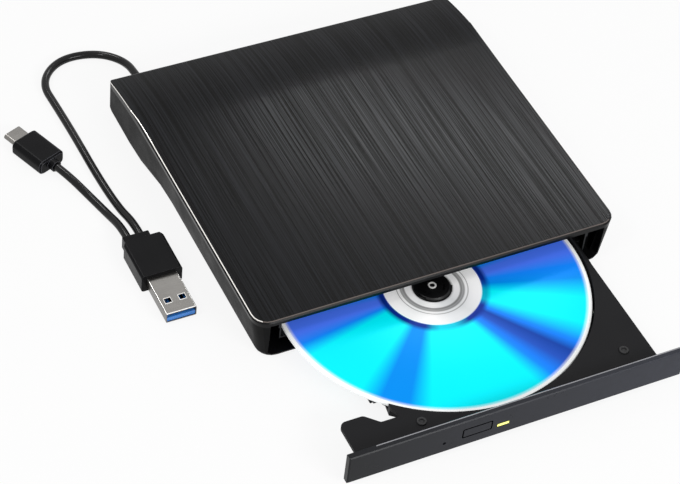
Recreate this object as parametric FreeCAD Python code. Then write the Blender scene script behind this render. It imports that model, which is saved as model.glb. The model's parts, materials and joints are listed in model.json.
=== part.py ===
import FreeCAD, Part
import math
import os

# External slim disc drive on its feet, tray part way out with a disc on the spindle.
# Millimetres. X to the right, Y to the back, Z up. The origin is on the table, midway
# between the tray's front panel and the back of the case.

# Case
case_side_room = 11.0
case_height = 20.4
rear_drop = 4.7
roof_bend_length = 36.7
nose_radius = 1.5
heel_radius = 3.0
toe_radius = 1.2
side_taper = 3.0
flare_front_length = 84.7
flare_length = 36.7
front_corner_radius = 6.5
rear_corner_radius = 3.0
lower_corner_radius = 6.0
lower_edge_radius = 2.0
lower_edge_step = 0.3
lower_edge_tuck = 0.6
roof_edge_bevel = 0.7
roof_thickness = 2.0
cover_edge_height = 2.6
side_wall = 2.0
floor_thickness = 1.6
mouth_side_room = 5.3
front_frame_depth = 3.0
mouth_corner_radius = 1.2
lip_thickness = 1.0
lip_depth = 2.0
lip_gap = 0.2
rib_thickness = 1.2
rib_gap = 0.3
roof_rib_pitch = 25.0
roof_rib_inset = 9.0
floor_rib_width = 2.0
floor_rib_front = 18.0
floor_rib_pitch = 44.0
floor_rib_inset = 4.0
side_rib_thickness = 1.5
side_rib_front = 30.0
side_rib_pitch = 40.0
side_rib_gap = 0.4
rib_root = 0.2
side_rib_drop = 1.0

# Feet and case screws
foot_height = 1.0
foot_radius = 5.0
foot_recess = 0.6
foot_side_inset = 16.0
foot_chamfer = 0.4
foot_gap = 0.2
foot_front_inset = 14.0
foot_rear_inset = 16.0
screw_side_inset = 7.4
screw_front_inset = 8.0
screw_rear_inset = 8.0
screw_head_radius = 1.8
screw_head_height = 0.8
screw_shank_radius = 0.8
screw_length = 6.5
post_radius = 1.6
seat_rim = 0.7
seat_height = 0.5
head_gap = 0.2
hole_gap = 0.3
pilot_gap = 0.05
small_sides = 12
round_sides = 24
corner_flats = 5
flare_flats = 4
foot_sides = 24
fastener_sides = 8
lead_sides = 8

# Tray, disc and their places
tray_out = 63.3
bezel_side_gap = 1.3
bezel_height = 13.6
bezel_thickness = 2.6
bezel_bevel = 0.45
bezel_back_chamfer = 0.3
bezel_floor_gap = 0.3
disc_radius = 60.0
disc_hole_radius = 7.5
disc_thickness = 1.2
disc_under = 8.9
disc_x = -1.9
disc_front_gap = 3.7
recess_gap = 0.8
recess_margin = 0.5
recess_wall = 1.5
tray_floor_top = 8.0
tray_floor_thickness = 1.1
deck_top = 11.6
deck_thickness = 1.5
tray_wall = 1.5
tray_bottom = 4.8
tray_rear_wall = 1.4
tray_left_start = 25.0
tray_corner_radius = 2.0
tray_rear_gap = 0.2
tray_rear_clearance = 0.5
tab_inset = 1.1
tab_depth = 16.6
tab_notch_depth = 11.8
tab_tip = 9.5
tab_root = 14.3
tab_corner = 2.6
tab_rib_inset = 2.9
tab_rib_pitch = 4.0
tab_rib = 1.2
tab_rib_height = 1.5
tray_rib = 1.4
right_rib_length = 15.3
latch_rib_offset = 2.8
front_wall_inset = 3.4
tray_boss_radius = 2.2
tray_screw_radius = 0.7
tray_screw_length = 3.0
right_screw_inset = 4.6
left_screw_inset = 3.8
front_screw_inset = 4.6
tray_screw_head_radius = 1.4
tray_screw_head_height = 0.35
tray_screw_rear = 42.0
front_screw_x = 3.0
bottom_sheet = 0.4
bottom_sheet_rear = 36.0
cover_pin_gap = 3.2
cover_side_gap = 0.4
cover_front_gap = 0.3
cover_front_strip = 7.0
cover_corner = 2.0
cover_slot_length = 16.0
cover_slot_front = 22.0
cover_slot_width = 6.0
cover_slots = 3
cover_slot_inset = 29.0
cover_slot_pitch = 26.0
latch_boss_radius = 2.0
pad_radius = 1.9
pad_proud = 0.5
pad_sunk = 0.6
pad_chamfer = 0.35
pad_gap = 0.1
pad_left_side_inset = 9.2
pad_left_inset = 9.3
pad_right_side_inset = 10.4
pad_right_inset = 11.9

# Button, lamp and release hole in the front panel
button_left = -23.3
button_width = 11.6
button_bottom = 7.6
button_height = 4.4
button_depth = 1.6
button_gap = 0.25
button_travel = 0.7
button_corner = 0.8
button_chamfer = 0.3
stem_width = 3.0
stem_height = 0.7
stem_gap = 0.4
barb_width = 4.6
barb_gap = 0.4
barb_length = 0.8
stem_reach = 1.6
lamp_left = -9.5
lamp_width = 5.0
lamp_bottom = 7.55
lamp_height = 1.5
lamp_guide = 1.0
lamp_guide_gap = 0.1
lamp_gap = 0.05
lamp_chamfer = 0.15
switch_room_depth = 5.4
release_x = -30.5
release_z = 7.9
release_radius = 0.65
release_gap = 0.2
switch_board_left = -28.5
switch_board_right = 2.0

# Drive chassis
drive_base = 3.2
drive_height = 12.7
sheet = 0.6
wing_width = 15.0
wing_floor = 6.8
lid_flange = 2.8
lid_flange_thickness = 0.5
lid_screw_drop = 1.4
lid_screw_inset = 10.0
lid_screw_head_radius = 1.3
lid_screw_head_height = 0.6
lid_screw_radius = 0.7
lid_groove_x = 44.0
lid_groove_width = 8.0
lid_groove_depth = 0.25
lid_groove_inset = 12.0
chassis_front_gap = 0.5
pan_slot_left = -20.0
pan_slot_right = 30.0
pan_slot_length = 14.0
pan_slot_width = 3.2
pan_slot_front = 20.4
pan_slot_pitch = 40.0
gate_gap = 0.6
gate_height_gap = 0.9
pin_radius = 1.2
pin_root = 0.3
pin_height = 2.1
pin_offset_x = 4.8
pin_offset_y = 3.6

# Telescopic rails and their guides
rail_front_out = 5.7
rail_length = 98.0
rail_bottom = 4.5
rail_height = 3.0
rail_width = 2.3
rail_groove_height = 1.4
rail_groove_depth = 1.2
tongue_height = 0.8
guide_lip = 0.6
guide_web = 0.8
guide_base = 0.4
guide_cover = 0.75
guide_front_inset = 2.4
guide_rear_inset = 1.5
rail_chamfer = 0.35
rail_gap = 0.3
tray_rail_gap = 0.6
tongue_end_gap = 0.3
runner_front = 25.0

# Spindle
table_radius = 13.0
table_thickness = 0.7
rotor_radius = 11.0
rotor_bottom = 6.5
hub_radius = 7.2
hub_top = 11.2
hub_chamfer = 0.6
hub_dome_depth = 0.3
hub_dome_radius = 4.8
cap_radius = 1.6
cap_height = 0.35
cap_width = 0.6
claw_count = 3
claw_width = 3.2
claw_length = 2.4
claw_proud = 0.45
claw_travel = 0.5
claw_bottom = 9.4
claw_height = 1.4
claw_gap = 0.15
stator_radius = 9.1
rotor_gap = 0.7
stator_teeth = 9
stator_base_gap = 0.25
stator_tooth_width = 1.6
stator_shoe_width = 3.8
stator_shoe_depth = 1.2
stator_sleeve_radius = 2.4
rotor_roof = 1.0
stator_roof_gap = 0.7
spindle_shaft_radius = 1.0
spindle_bore_gap = 0.05
shaft_end_gap = 0.3

# Pickup traverse: U runs out from the spindle towards the front right corner
traverse_angle = -45.0
sled_rest = 36.0
sled_inner = 25.0
sled_length = 13.0
sled_left = -9.6
sled_right = 13.0
sled_bottom = 5.9
sled_top = 7.5
main_rod_v = -7.8
side_rod_v = 15.6
rod_radius = 1.0
rod_height = 6.5
rod_inner = 15.5
rod_end_gap = 0.7
rod_gap = 0.05
plate_bottom = 4.9
plate_thickness = 0.7
plate_inner = -16.0
plate_end_gap = 2.2
plate_half_width = 19.5
screw_v = -12.4
screw_radius = 1.1
screw_root_radius = 0.8
screw_relief = 0.8
journal_radius = 0.5
screw_end_gap = 0.4
clamp_length = 2.4
clamp_half_width = 1.8
clamp_rise = 0.9
window_end = 1.6
screw_inner = 17.0
step_motor_radius = 2.4
step_motor_length = 6.6
step_motor_gap = 1.2
step_motor_lift = 0.75
motor_side_gap = 0.5
motor_end_gap = 0.6
window_gap = 1.0
lens_radius = 2.2
lens_rim = 0.6
lens_seat = 0.5
lens_dome = 0.35
lens_flat_radius = 1.3
lens_top = 8.2
bearing_half_height = 1.35
bearing_half_width = 2.0
holder_length = 9.0
holder_lift = 1.1
holder_width = 9.0
shroud_thickness = 0.3
shroud_overhang = 3.5

# Latch
latch_side_inset = 13.2
latch_pivot_inset = 8.4
latch_arm = 9.6
latch_thickness = 1.0
latch_bottom = 5.1
latch_half_width = 1.2
latch_hook = 3.4
latch_post_radius = 1.0
latch_play = 0.3
latch_eye_radius = 2.0
latch_tail = 5.0
magnet_offset_x = 5.3
magnet_offset_y = 2.0
magnet_length = 7.5
magnet_depth = 4.2
magnet_height = 3.1
magnet_gap = 0.4
magnet_end = 0.8
magnet_yoke = 0.7
coil_inset = 0.25
latch_bore_gap = 0.05

# Boards
board_thickness = 1.0
drive_board_left = -36.0
drive_board_right = 50.0
drive_board_length = 24.0
drive_board_lift = 0.4
drive_board_gap = 0.4
board_foot_inset = 5.0
board_foot_radius = 1.6
chip_height = 0.9
drive_board_chips = ((-24, 7, 11, 11), (-4, 6, 8, 8), (30, 8, 9, 6), (12, 14, 4, 3), (40, 15, 5, 4))
bridge_left_gap = 6.7
bridge_right = 24.0
bridge_length = 8.6
bridge_front_gap = 2.5
bridge_rear_gap = 0.6
bridge_post_inset = 6.0
bridge_post_radius = 2.2
bridge_height = 4.6
capacitor_radius = 2.0
capacitor_height = 3.6
bridge_board_parts = (
    (14.0, 0.8, 7.0, 7.0, 1.0),
    (25.0, 2.0, 4.0, 3.0, 0.9),
    (6.0, 1.0, 1.6, 0.9, 0.6),
    (8.6, 1.0, 1.6, 0.9, 0.6),
    (11.2, 1.0, 1.6, 0.9, 0.6),
)
sata_width = 33.0
sata_height = 3.0
socket_depth = 3.8
socket_height = 1.5
socket_wall = 1.2
socket_mouth = 2.4
blade_lift = 0.5
blade_thickness = 0.5
blade_gap = 0.05
blade_inset = 1.5
blade_reach = 2.0
connector_height = 3.4
connector_cover = 3.0
flex_left = 4.0
flex_width = 16.0
flex_root_inset = 29.0
flex_front_gap = 7.6
flex_fold_length = 34.0
flex_floor_gap = 0.02
flex_tray_gap = 0.25
flex_stiffener = 3.0
flex_thickness = 0.15

# Lead, its plugs and where they lie
lead_diameter = 3.2
lead_exit_inset = 16.3
lead_exit_z = 5.0
grommet_radius = 2.9
grommet_proud = 2.0
grommet_flange = 1.0
grommet_wire = 2.0
grommet_inside = 3.0
grommet_relief = 6.0
grommet_gap = 0.1
grommet_chamfer = 0.6
grommet_flange_radius = 4.0
plug_a_x = -91.4
plug_a_front = 7.1
plug_a_length = 19.4
plug_a_width = 16.3
plug_a_height = 8.0
plug_a_corner = 1.2
plug_a_neck = 4.0
plug_a_neck_round = 0.9
plug_a_shoulder = 3.0
plug_a_neck_width = 10.6
plug_a_neck_height = 5.2
shell_a_width = 12.0
shell_a_height = 4.5
shell_a_length = 18.75
shell_a_wall = 0.3
shell_a_root = 3.0
shell_a_floor = 0.5
shell_a_corner = 0.4
shell_a_hole_x = 2.85
shell_a_hole_width = 2.5
shell_a_hole_start = 5.2
shell_a_hole_length = 2.3
tongue_a_thickness = 1.84
tongue_a_gap = 0.1
tongue_a_inset = 0.35
tongue_a_lift = 0.02
contact_pitch = 7.0 / 3
contact_width = 1.0
contact_gap = 0.05
contact_start = 1.4
contact_end_gap = 0.2
contact_length = 7.4
contact_depth = 0.25
contact_thickness = 0.2
plug_c_x = -107.5
plug_c_y = 79.2
plug_c_turn = 21.8
plug_c_length = 16.7
plug_c_width = 12.4
plug_c_height = 6.5
plug_c_neck = 2.5
plug_c_neck_radius = 2.4
shell_c_width = 8.25
shell_c_height = 2.4
shell_c_length = 6.6
shell_c_wall = 0.3
shell_c_root = 2.0
shell_c_floor = 0.4
shell_c_round = 0.48
plug_c_corner = 2.2
plug_c_end_chamfer = 0.7
tongue_c_width = 6.0
tongue_c_gap = 0.8
tongue_c_thickness = 0.45
tongue_c_inset = 0.6
lead_route = [
    (-58.7, 105.65, 5.0),
    (-58.7, 111.7, 5.0),
    (-59.1, 125.1, 2.8),
    (-68.4, 135.0, 1.6),
    (-84.0, 136.0, 1.6),
    (-95.0, 125.4, 1.6),
    (-94.1, 109.4, 1.6),
    (-93.4, 90.8, 1.6),
    (-93.1, 67.4, 1.6),
    (-91.8, 49.0, 1.6),
    (-90.4, 37.8, 4.0),
    (-90.4, 30.5, 4.0),
]
pigtail_route = [
    (-95.5, 30.5, 4.0),
    (-95.5, 37.2, 4.0),
    (-96.9, 47.5, 1.6),
    (-100.0, 59.2, 1.6),
    (-103.97, 70.38, 3.25),
    (-106.57, 76.88, 3.25),
]

# Widths worked out from the disc outwards
recess_radius = disc_radius + recess_gap
rod_outer = recess_radius + rod_end_gap
plate_outer = recess_radius + plate_end_gap
step_motor_start = recess_radius + step_motor_gap
tray_right = disc_x + recess_radius + recess_margin
drive_half_width = tray_right + tray_rail_gap + rail_width + rail_gap + guide_web + sheet
step_x = -drive_half_width + wing_width
step_in = step_x + sheet
drive_in = drive_half_width - sheet
tray_left = step_in + guide_web + rail_gap + rail_width + tray_rail_gap
tab_left = -drive_half_width + tab_inset
case_half = drive_half_width + case_side_room
case_width = 2 * case_half
mouth_width = 2 * (drive_half_width + mouth_side_room)
bezel_width = mouth_width - 2 * bezel_side_gap
foot_x = case_half - foot_side_inset
screw_x = case_half - screw_side_inset
lead_exit_x = -case_half + lead_exit_inset
bridge_left = lead_exit_x + bridge_left_gap
pad_left_x = tray_left + pad_left_side_inset
pad_right_x = tray_right - pad_right_side_inset
latch_pivot_x = tray_left + latch_side_inset
pin_x = latch_pivot_x - pin_offset_x

# Depths and heights worked out the same way
tray_depth = bezel_thickness + disc_front_gap + disc_radius + recess_radius + tray_rear_gap + tray_rear_wall
rear_room = lid_flange_thickness + bridge_front_gap + bridge_length + bridge_rear_gap + side_wall
case_depth = tray_depth + tray_rear_clearance + sheet + rear_room
total_depth = case_depth + tray_out
case_front = -total_depth / 2 + tray_out
case_rear = total_depth / 2
base_z = foot_height
floor_top = base_z + floor_thickness
roof_bend_y = case_rear - roof_bend_length
bend_radius = (roof_bend_length ** 2 + rear_drop ** 2) / (2 * rear_drop)
bezel_front = -total_depth / 2
bezel_rear = bezel_front + bezel_thickness
bezel_bottom = floor_top + bezel_floor_gap
bezel_top = bezel_bottom + bezel_height
disc_y = bezel_rear + disc_front_gap + disc_radius
disc_top = disc_under + disc_thickness
tray_rear = bezel_front + tray_depth
chassis_front = case_front + bezel_thickness + chassis_front_gap
chassis_rear_in = tray_rear + tray_out + tray_rear_clearance
chassis_rear = chassis_rear_in + sheet
drive_board_front = chassis_rear_in - drive_board_gap - drive_board_length
lid_top = drive_base + drive_height
pan_top = lid_top - sheet
pan_floor = drive_base + sheet
tray_floor_under = tray_floor_top - tray_floor_thickness
deck_under = deck_top - deck_thickness
rail_top = rail_bottom + rail_height
rail_mid = rail_bottom + rail_height / 2
guide_top = rail_top + rail_gap + guide_lip
latch_pivot_y = bezel_rear + latch_pivot_inset
pin_y = latch_pivot_y + latch_arm - pin_offset_y + tray_out
rear_inside = case_rear - side_wall
screw_z = pan_top - lid_screw_drop
bridge_rear = rear_inside - bridge_rear_gap
bridge_front = bridge_rear - bridge_length
tongue_a_low = plug_a_height / 2 - shell_a_height / 2 + shell_a_wall + tongue_a_lift


def vec(x, y, z):
    return FreeCAD.Vector(x, y, z)


def block(x0, x1, y0, y1, z0, z1):
    return Part.makeBox(x1 - x0, y1 - y0, z1 - z0, vec(x0, y0, z0))


def post(x, y, z0, z1, radius):
    return Part.makeCylinder(radius, z1 - z0, vec(x, y, z0), vec(0, 0, 1))


def rod(start, direction, length, radius):
    return Part.makeCylinder(radius, length, start, direction)


def polygon(x, y, z, radius, sides):
    """Closed regular outline about a vertical axis."""
    corners = []
    for k in range(sides + 1):
        turn = 2 * math.pi * (k + 0.5) / sides
        corners.append(vec(x + radius * math.cos(turn), y + radius * math.sin(turn), z))
    return Part.makePolygon(corners)


def faceted_rod(start, direction, length, radius, sides=small_sides):
    """Rod with flat sides, for small pins, screws, bosses and their holes."""
    solid = Part.Face(polygon(0, 0, 0, radius, sides)).extrude(vec(0, 0, length))
    solid.Placement = FreeCAD.Placement(start, FreeCAD.Rotation(vec(0, 0, 1), direction))
    return solid


def faceted_post(x, y, z0, z1, radius, sides=small_sides):
    return faceted_rod(vec(x, y, z0), vec(0, 0, 1), z1 - z0, radius, sides)


def top_edges(solid):
    """Edges that lie in a solid's highest plane."""
    top = solid.BoundBox.ZMax
    return [e for e in solid.Edges if e.BoundBox.ZMin > top - 0.01]


def corner_path(points):
    """Closed wire through points (u, v, radius), each corner rounded by its radius, at z 0."""
    count = len(points)
    edges = []
    ends = []
    for i in range(count):
        here = points[i]
        before = points[i - 1]
        after = points[(i + 1) % count]
        p = vec(here[0], here[1], 0)
        radius = here[2] if len(here) > 2 else 0
        if radius == 0:
            ends.append((p, p, None))
            continue
        back = (vec(before[0], before[1], 0) - p).normalize()
        ahead = (vec(after[0], after[1], 0) - p).normalize()
        half = back.getAngle(ahead) / 2
        reach = radius / math.tan(half)
        middle = (back + ahead).normalize()
        arc_mid = p + middle * (radius / math.sin(half) - radius)
        ends.append((p + back * reach, p + ahead * reach, arc_mid))
    for i in range(count):
        first, last, arc_mid = ends[i]
        if arc_mid is not None:
            edges.append(Part.Arc(first, arc_mid, last).toShape())
        following = ends[(i + 1) % count][0]
        if (following - last).Length > 1e-6:
            edges.append(Part.LineSegment(last, following).toShape())
    return Part.Wire(edges)


def plate(points, z0, z1):
    """Flat plate with a rounded outline in X and Y."""
    face = Part.Face(corner_path(points))
    face.translate(vec(0, 0, z0))
    return face.extrude(vec(0, 0, z1 - z0))


def prism_y(points, y0, y1):
    """Outline of X and Z points carried along Y."""
    face = Part.Face(corner_path(points))
    solid = face.extrude(vec(0, 0, y1 - y0))
    solid.rotate(vec(0, 0, 0), vec(1, 0, 0), 90)
    solid.translate(vec(0, y1, 0))
    return solid


def rect(x0, x1, y0, y1, radius=0):
    return [(x0, y0, radius), (x1, y0, radius), (x1, y1, radius), (x0, y1, radius)]


def join(shapes):
    whole = shapes[0].fuse(shapes[1:]) if len(shapes) > 1 else shapes[0]
    return whole.removeSplitter()


def group(shapes):
    return Part.makeCompound(shapes)


def save(name, shape):
    shape.exportStep(os.path.join("parts", name + ".step"))
    print(name, "solids", len(shape.Solids), "volume", round(shape.Volume, 1), "valid", shape.isValid())


# Case shells


def corner_points(x, y, radius, first_turn):
    """Points of a quarter turn about a corner's centre, cut into straight pieces."""
    points = []
    for k in range(corner_flats + 1):
        turn = first_turn + math.pi / 2 * k / corner_flats
        points.append((x + radius * math.cos(turn), y + radius * math.sin(turn)))
    return points


def mirrored_outline(half, z):
    """Closed outline through points given for the right half, front to rear."""
    corners = [vec(x, y, z) for x, y in half] + [vec(-x, y, z) for x, y in reversed(half)]
    return Part.makePolygon(corners + corners[:1])


def case_outline(z, inset, taper, front_radius, rear_radius):
    """Closed plan outline whose sides step in by taper at the front and flare out to the rear."""
    out = case_half - inset
    near = out - taper
    front = case_front + inset
    rear = case_rear - inset
    half = corner_points(near - front_radius, front + front_radius, front_radius, -math.pi / 2)
    for k in range(flare_flats + 1):
        t = k / flare_flats
        reach = 1.5 * t * (1 - t) + t ** 3
        swing = t * t * (3 - 2 * t)
        half.append((near + taper * swing, case_front + flare_front_length + flare_length * reach))
    half += corner_points(out - rear_radius, rear - rear_radius, rear_radius, 0)
    return mirrored_outline(half, z)


def side_loft():
    """Body between the plan at the roof and the drawn-in plan at the base, edges eased above and below."""
    full = case_height - base_z
    bevel = roof_edge_bevel
    corner = front_corner_radius
    heel = rear_corner_radius
    levels = [
        case_outline(case_height, bevel, 0, corner - bevel, heel - bevel),
        case_outline(case_height - bevel, 0, side_taper * bevel / full, corner, heel),
    ]
    rise = lower_edge_radius
    for z in (base_z + rise, base_z + lower_edge_step * rise, base_z):
        tuck = rise - math.sqrt(max(rise ** 2 - (rise - (z - base_z)) ** 2, 0))
        taper = side_taper * (case_height - z) / full
        levels.append(case_outline(z, lower_edge_tuck * tuck, taper, lower_corner_radius, heel))
    return Part.makeLoft(levels, True, True)


def inner_outline(z, inset, taper):
    """Plan outline inside the walls, its corners and its flare cut straight."""
    out = case_half - inset
    near = out - taper
    front = case_front + inset
    rear = case_rear - inset
    flare_start = case_front + flare_front_length
    front_cut = max(front_corner_radius - inset, 0.5 * front_corner_radius)
    rear_cut = 0.5 * rear_corner_radius
    half = [
        (near - front_cut, front), (near, front + front_cut), (near, flare_start),
        (out, flare_start + flare_length), (out, rear - rear_cut), (out - rear_cut, rear),
    ]
    return mirrored_outline(half, z)


def roof_face(front, low, down):
    """Side view of the space under the roof line lowered by down, in the plane X = 0."""
    flat = case_height - down
    centre = flat - bend_radius
    angle = math.asin(roof_bend_length / bend_radius)
    half = angle / 2
    middle = vec(0, roof_bend_y + bend_radius * math.sin(half), centre + bend_radius * math.cos(half))
    arc_end = vec(0, case_rear, flat - rear_drop)
    edges = [
        Part.LineSegment(vec(0, front, low), vec(0, case_rear, low)).toShape(),
        Part.LineSegment(vec(0, case_rear, low), arc_end).toShape(),
        Part.Arc(arc_end, middle, vec(0, roof_bend_y, flat)).toShape(),
        Part.LineSegment(vec(0, roof_bend_y, flat), vec(0, front, flat)).toShape(),
        Part.LineSegment(vec(0, front, flat), vec(0, front, low)).toShape(),
    ]
    return Part.Face(Part.Wire(edges))


def roof_region(front, rear, low, down):
    """Space under the lowered roof line, right across the case."""
    solid = roof_face(front, low, down).extrude(vec(case_width + 20, 0, 0))
    solid.translate(vec(-case_half - 10, 0, 0))
    if rear < case_rear:
        keep = block(-case_half - 10, case_half + 10, front, rear, low, case_height + 1)
        solid = solid.common(keep)
    return solid


def bevel_region(side):
    """Space under a slope that takes the bevel off one side's roof edge, all along the bend."""
    reach = case_half + 10
    face = roof_face(case_front - 5, base_z - 3 * case_width, -(case_half - roof_edge_bevel) - reach)
    face.translate(vec(-side * reach, 0, 0))
    return face.extrude(vec(side * 2 * reach, 0, -2 * reach))


def edges_along_x(solid, y, z, reach):
    found = []
    for edge in solid.Edges:
        mid = edge.BoundBox.Center
        if edge.BoundBox.XLength > case_half and abs(mid.y - y) < reach and abs(mid.z - z) < reach:
            found.append(edge)
    return found


def case_body():
    side_view = roof_region(case_front, case_rear, base_z, 0)
    nose = edges_along_x(side_view, case_rear, case_height - rear_drop, 0.5)
    side_view = side_view.makeFillet(nose_radius, nose)
    heel = edges_along_x(side_view, case_rear, base_z, 0.5)
    side_view = side_view.makeFillet(heel_radius, heel)
    toe = edges_along_x(side_view, case_front, base_z, 0.5)
    side_view = side_view.makeFillet(toe_radius, toe)
    body = side_loft().common(side_view)
    return body.common(bevel_region(1)).common(bevel_region(-1))


def cavity(inset, roof_down, low):
    """Hollow inset from the walls, under the roof line and behind the front frame."""
    outlines = [inner_outline(case_height, inset, 0), inner_outline(base_z, inset, side_taper)]
    inner = Part.makeLoft(outlines, True, True)
    return inner.common(roof_region(case_front + front_frame_depth, case_rear - inset, low, roof_down))


def mouth_cut():
    opening = prism_y(
        [
            (-mouth_width / 2, floor_top, mouth_corner_radius),
            (mouth_width / 2, floor_top, mouth_corner_radius),
            (mouth_width / 2, case_height - roof_thickness),
            (-mouth_width / 2, case_height - roof_thickness),
        ],
        case_front - 1,
        case_front + front_frame_depth + 1,
    )
    return opening


def screw_places():
    ys = (case_front + screw_front_inset, case_rear - screw_rear_inset)
    return [(sign * screw_x, y) for sign in (-1, 1) for y in ys]


def foot_places():
    ys = (case_front + foot_front_inset, case_rear - foot_rear_inset)
    return [(sign * foot_x, y) for sign in (-1, 1) for y in ys]


def top_cover(body):
    split = roof_region(case_front - 5, case_rear, base_z - 1, cover_edge_height)
    shell = body.cut(split.copy())
    shell = shell.cut(cavity(side_wall, roof_thickness, base_z))
    shell = shell.cut(mouth_cut())
    ring = cavity(side_wall + lip_gap, roof_thickness, base_z)
    ring = ring.cut(cavity(side_wall + lip_gap + lip_thickness, roof_thickness - 1, base_z - 1))
    ring = ring.cut(roof_region(case_front - 5, case_rear, base_z - 1, cover_edge_height + lip_depth))
    front_space = case_front + front_frame_depth + lip_thickness + lip_gap
    ring = ring.cut(block(-case_half, case_half, case_front, front_space, base_z, case_height))
    posts = []
    for x, y in screw_places():
        peg = faceted_post(x, y, floor_top + seat_height, case_height, post_radius)
        peg = peg.common(roof_region(case_front - 5, case_rear, base_z - 1, roof_thickness))
        posts.append(peg)
    ribs = []
    half = drive_half_width - roof_rib_inset
    for k in (1, 2, 3):
        y = case_front + k * roof_rib_pitch
        ribs.append(block(-half, half, y, y + rib_thickness, lid_top + rib_gap, case_height - roof_thickness))
    shell = join([shell, ring] + posts + ribs)
    for x, y in screw_places():
        hole_radius = screw_shank_radius + pilot_gap
        shell = shell.cut(faceted_post(x, y, base_z, floor_top + screw_length, hole_radius))
    return shell


def bottom_shell(body):
    split = roof_region(case_front - 5, case_rear, base_z - 1, cover_edge_height)
    shell = body.common(split)
    shell = shell.cut(cavity(side_wall, roof_thickness, floor_top))
    shell = shell.cut(mouth_cut())
    extras = []
    for x, y in screw_places():
        extras.append(faceted_post(x, y, floor_top - seat_height, floor_top + seat_height, post_radius + seat_rim))
    root = floor_top - rib_root
    inset = floor_rib_inset
    for k in range(3):
        y = case_front + floor_rib_front + k * floor_rib_pitch
        rear = y + floor_rib_width
        extras.append(block(step_x + inset, drive_half_width - inset, y, rear, root, drive_base))
        extras.append(block(-drive_half_width + inset, step_x - inset, y, rear, root, wing_floor))
    near = drive_half_width + lid_flange_thickness + side_rib_gap
    for k in range(3):
        y = case_front + side_rib_front + k * side_rib_pitch
        for x0, x1 in ((-case_half, -near), (near, case_half)):
            rib = block(x0, x1, y, y + side_rib_thickness, root, pan_top - side_rib_drop)
            extras.append(rib.common(body))
    for x in (bridge_left + bridge_post_inset, bridge_right - bridge_post_inset):
        y = rear_inside - bridge_length / 2
        extras.append(faceted_post(x, y, root, bridge_height, bridge_post_radius))
    shell = join([shell] + extras)
    for x, y in screw_places():
        head_room = faceted_post(x, y, base_z - 1, base_z + screw_head_height, screw_head_radius + head_gap)
        shank_room = faceted_post(x, y, base_z - 1, floor_top + 1, screw_shank_radius + hole_gap)
        shell = shell.cut(head_room).cut(shank_room)
    for x, y in foot_places():
        recess = faceted_post(x, y, base_z - 1, base_z + foot_recess, foot_radius + foot_gap, foot_sides)
        shell = shell.cut(recess)
    hole_start = vec(lead_exit_x, rear_inside - grommet_relief, lead_exit_z)
    length = grommet_relief + side_wall + 1
    shell = shell.cut(faceted_rod(hole_start, vec(0, 1, 0), length, grommet_radius, foot_sides))
    return shell


def rubber_feet():
    feet = []
    for x, y in foot_places():
        foot = faceted_post(x, y, 0, base_z + foot_recess, foot_radius, foot_sides)
        low = [e for e in foot.Edges if e.BoundBox.ZMax < 0.01]
        feet.append(foot.makeChamfer(foot_chamfer, low))
    return group(feet)


def case_screws():
    screws = []
    for x, y in screw_places():
        head = faceted_post(x, y, base_z, base_z + screw_head_height, screw_head_radius, fastener_sides)
        shank = faceted_post(x, y, base_z, base_z + screw_length, screw_shank_radius, fastener_sides)
        screws.append(join([head, shank]))
    return group(screws)


# Drive chassis


def chassis_pan():
    w = drive_half_width
    section = [
        (-w, wing_floor), (step_x, wing_floor), (step_x, drive_base), (w, drive_base),
        (w, pan_top), (drive_in, pan_top), (drive_in, pan_floor), (step_in, pan_floor),
        (step_in, wing_floor + sheet), (-drive_in, wing_floor + sheet), (-drive_in, pan_top), (-w, pan_top),
    ]
    pan = prism_y(section, chassis_front, chassis_rear)
    outside = section[:5] + section[-1:]
    back = prism_y(outside, chassis_rear_in, chassis_rear)
    pin = faceted_post(pin_x, pin_y, pan_floor - pin_root, pan_floor + pin_height, pin_radius)
    pan = join([pan, back, pin])
    half = sata_width / 2 + gate_gap
    gate_top = pan_floor + sata_height + gate_height_gap
    gate = block(-half, half, chassis_rear_in - 1, chassis_rear + 1, pan_floor, gate_top)
    pan = pan.cut(gate)
    half = pan_slot_length / 2
    for x in (pan_slot_left, pan_slot_right):
        for k in (0, 1):
            y = chassis_front + pan_slot_front + k * pan_slot_pitch
            pan = pan.cut(block(x - half, x + half, y, y + pan_slot_width, drive_base - 1, pan_floor + 1))
    return pan


def chassis_lid():
    w = drive_half_width
    t = lid_flange_thickness
    top = block(-w, w, chassis_front, chassis_rear, pan_top, lid_top)
    flanges = [
        block(-w - t, -w, chassis_front, chassis_rear + t, pan_top - lid_flange, lid_top),
        block(w, w + t, chassis_front, chassis_rear + t, pan_top - lid_flange, lid_top),
        block(-w, w, chassis_rear, chassis_rear + t, pan_top - lid_flange, lid_top),
    ]
    lid = join([top] + flanges)
    half = lid_groove_width / 2
    y0 = chassis_front + lid_groove_inset
    y1 = chassis_rear - lid_groove_inset
    for x in (-lid_groove_x, lid_groove_x):
        lid = lid.cut(block(x - half, x + half, y0, y1, lid_top - lid_groove_depth, lid_top + 1))
    for x, y in lid_screw_places():
        lid = lid.cut(faceted_rod(vec(x - 3, y, screw_z), vec(1, 0, 0), 6, lid_screw_radius + hole_gap))
    return lid


def lid_screw_places():
    ys = (chassis_front + lid_screw_inset, chassis_rear - lid_screw_inset)
    return [(side * drive_half_width, y) for side in (-1, 1) for y in ys]


def lid_screws():
    screws = []
    for x, y in lid_screw_places():
        side = 1 if x > 0 else -1
        seat = x + side * lid_flange_thickness
        out = vec(side, 0, 0)
        start = vec(seat, y, screw_z)
        head = faceted_rod(start, out, lid_screw_head_height, lid_screw_head_radius, fastener_sides)
        shank = faceted_rod(vec(x, y, screw_z), out, lid_flange_thickness, lid_screw_radius, fastener_sides)
        screws.append(join([head, shank]))
    return group(screws)


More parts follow.
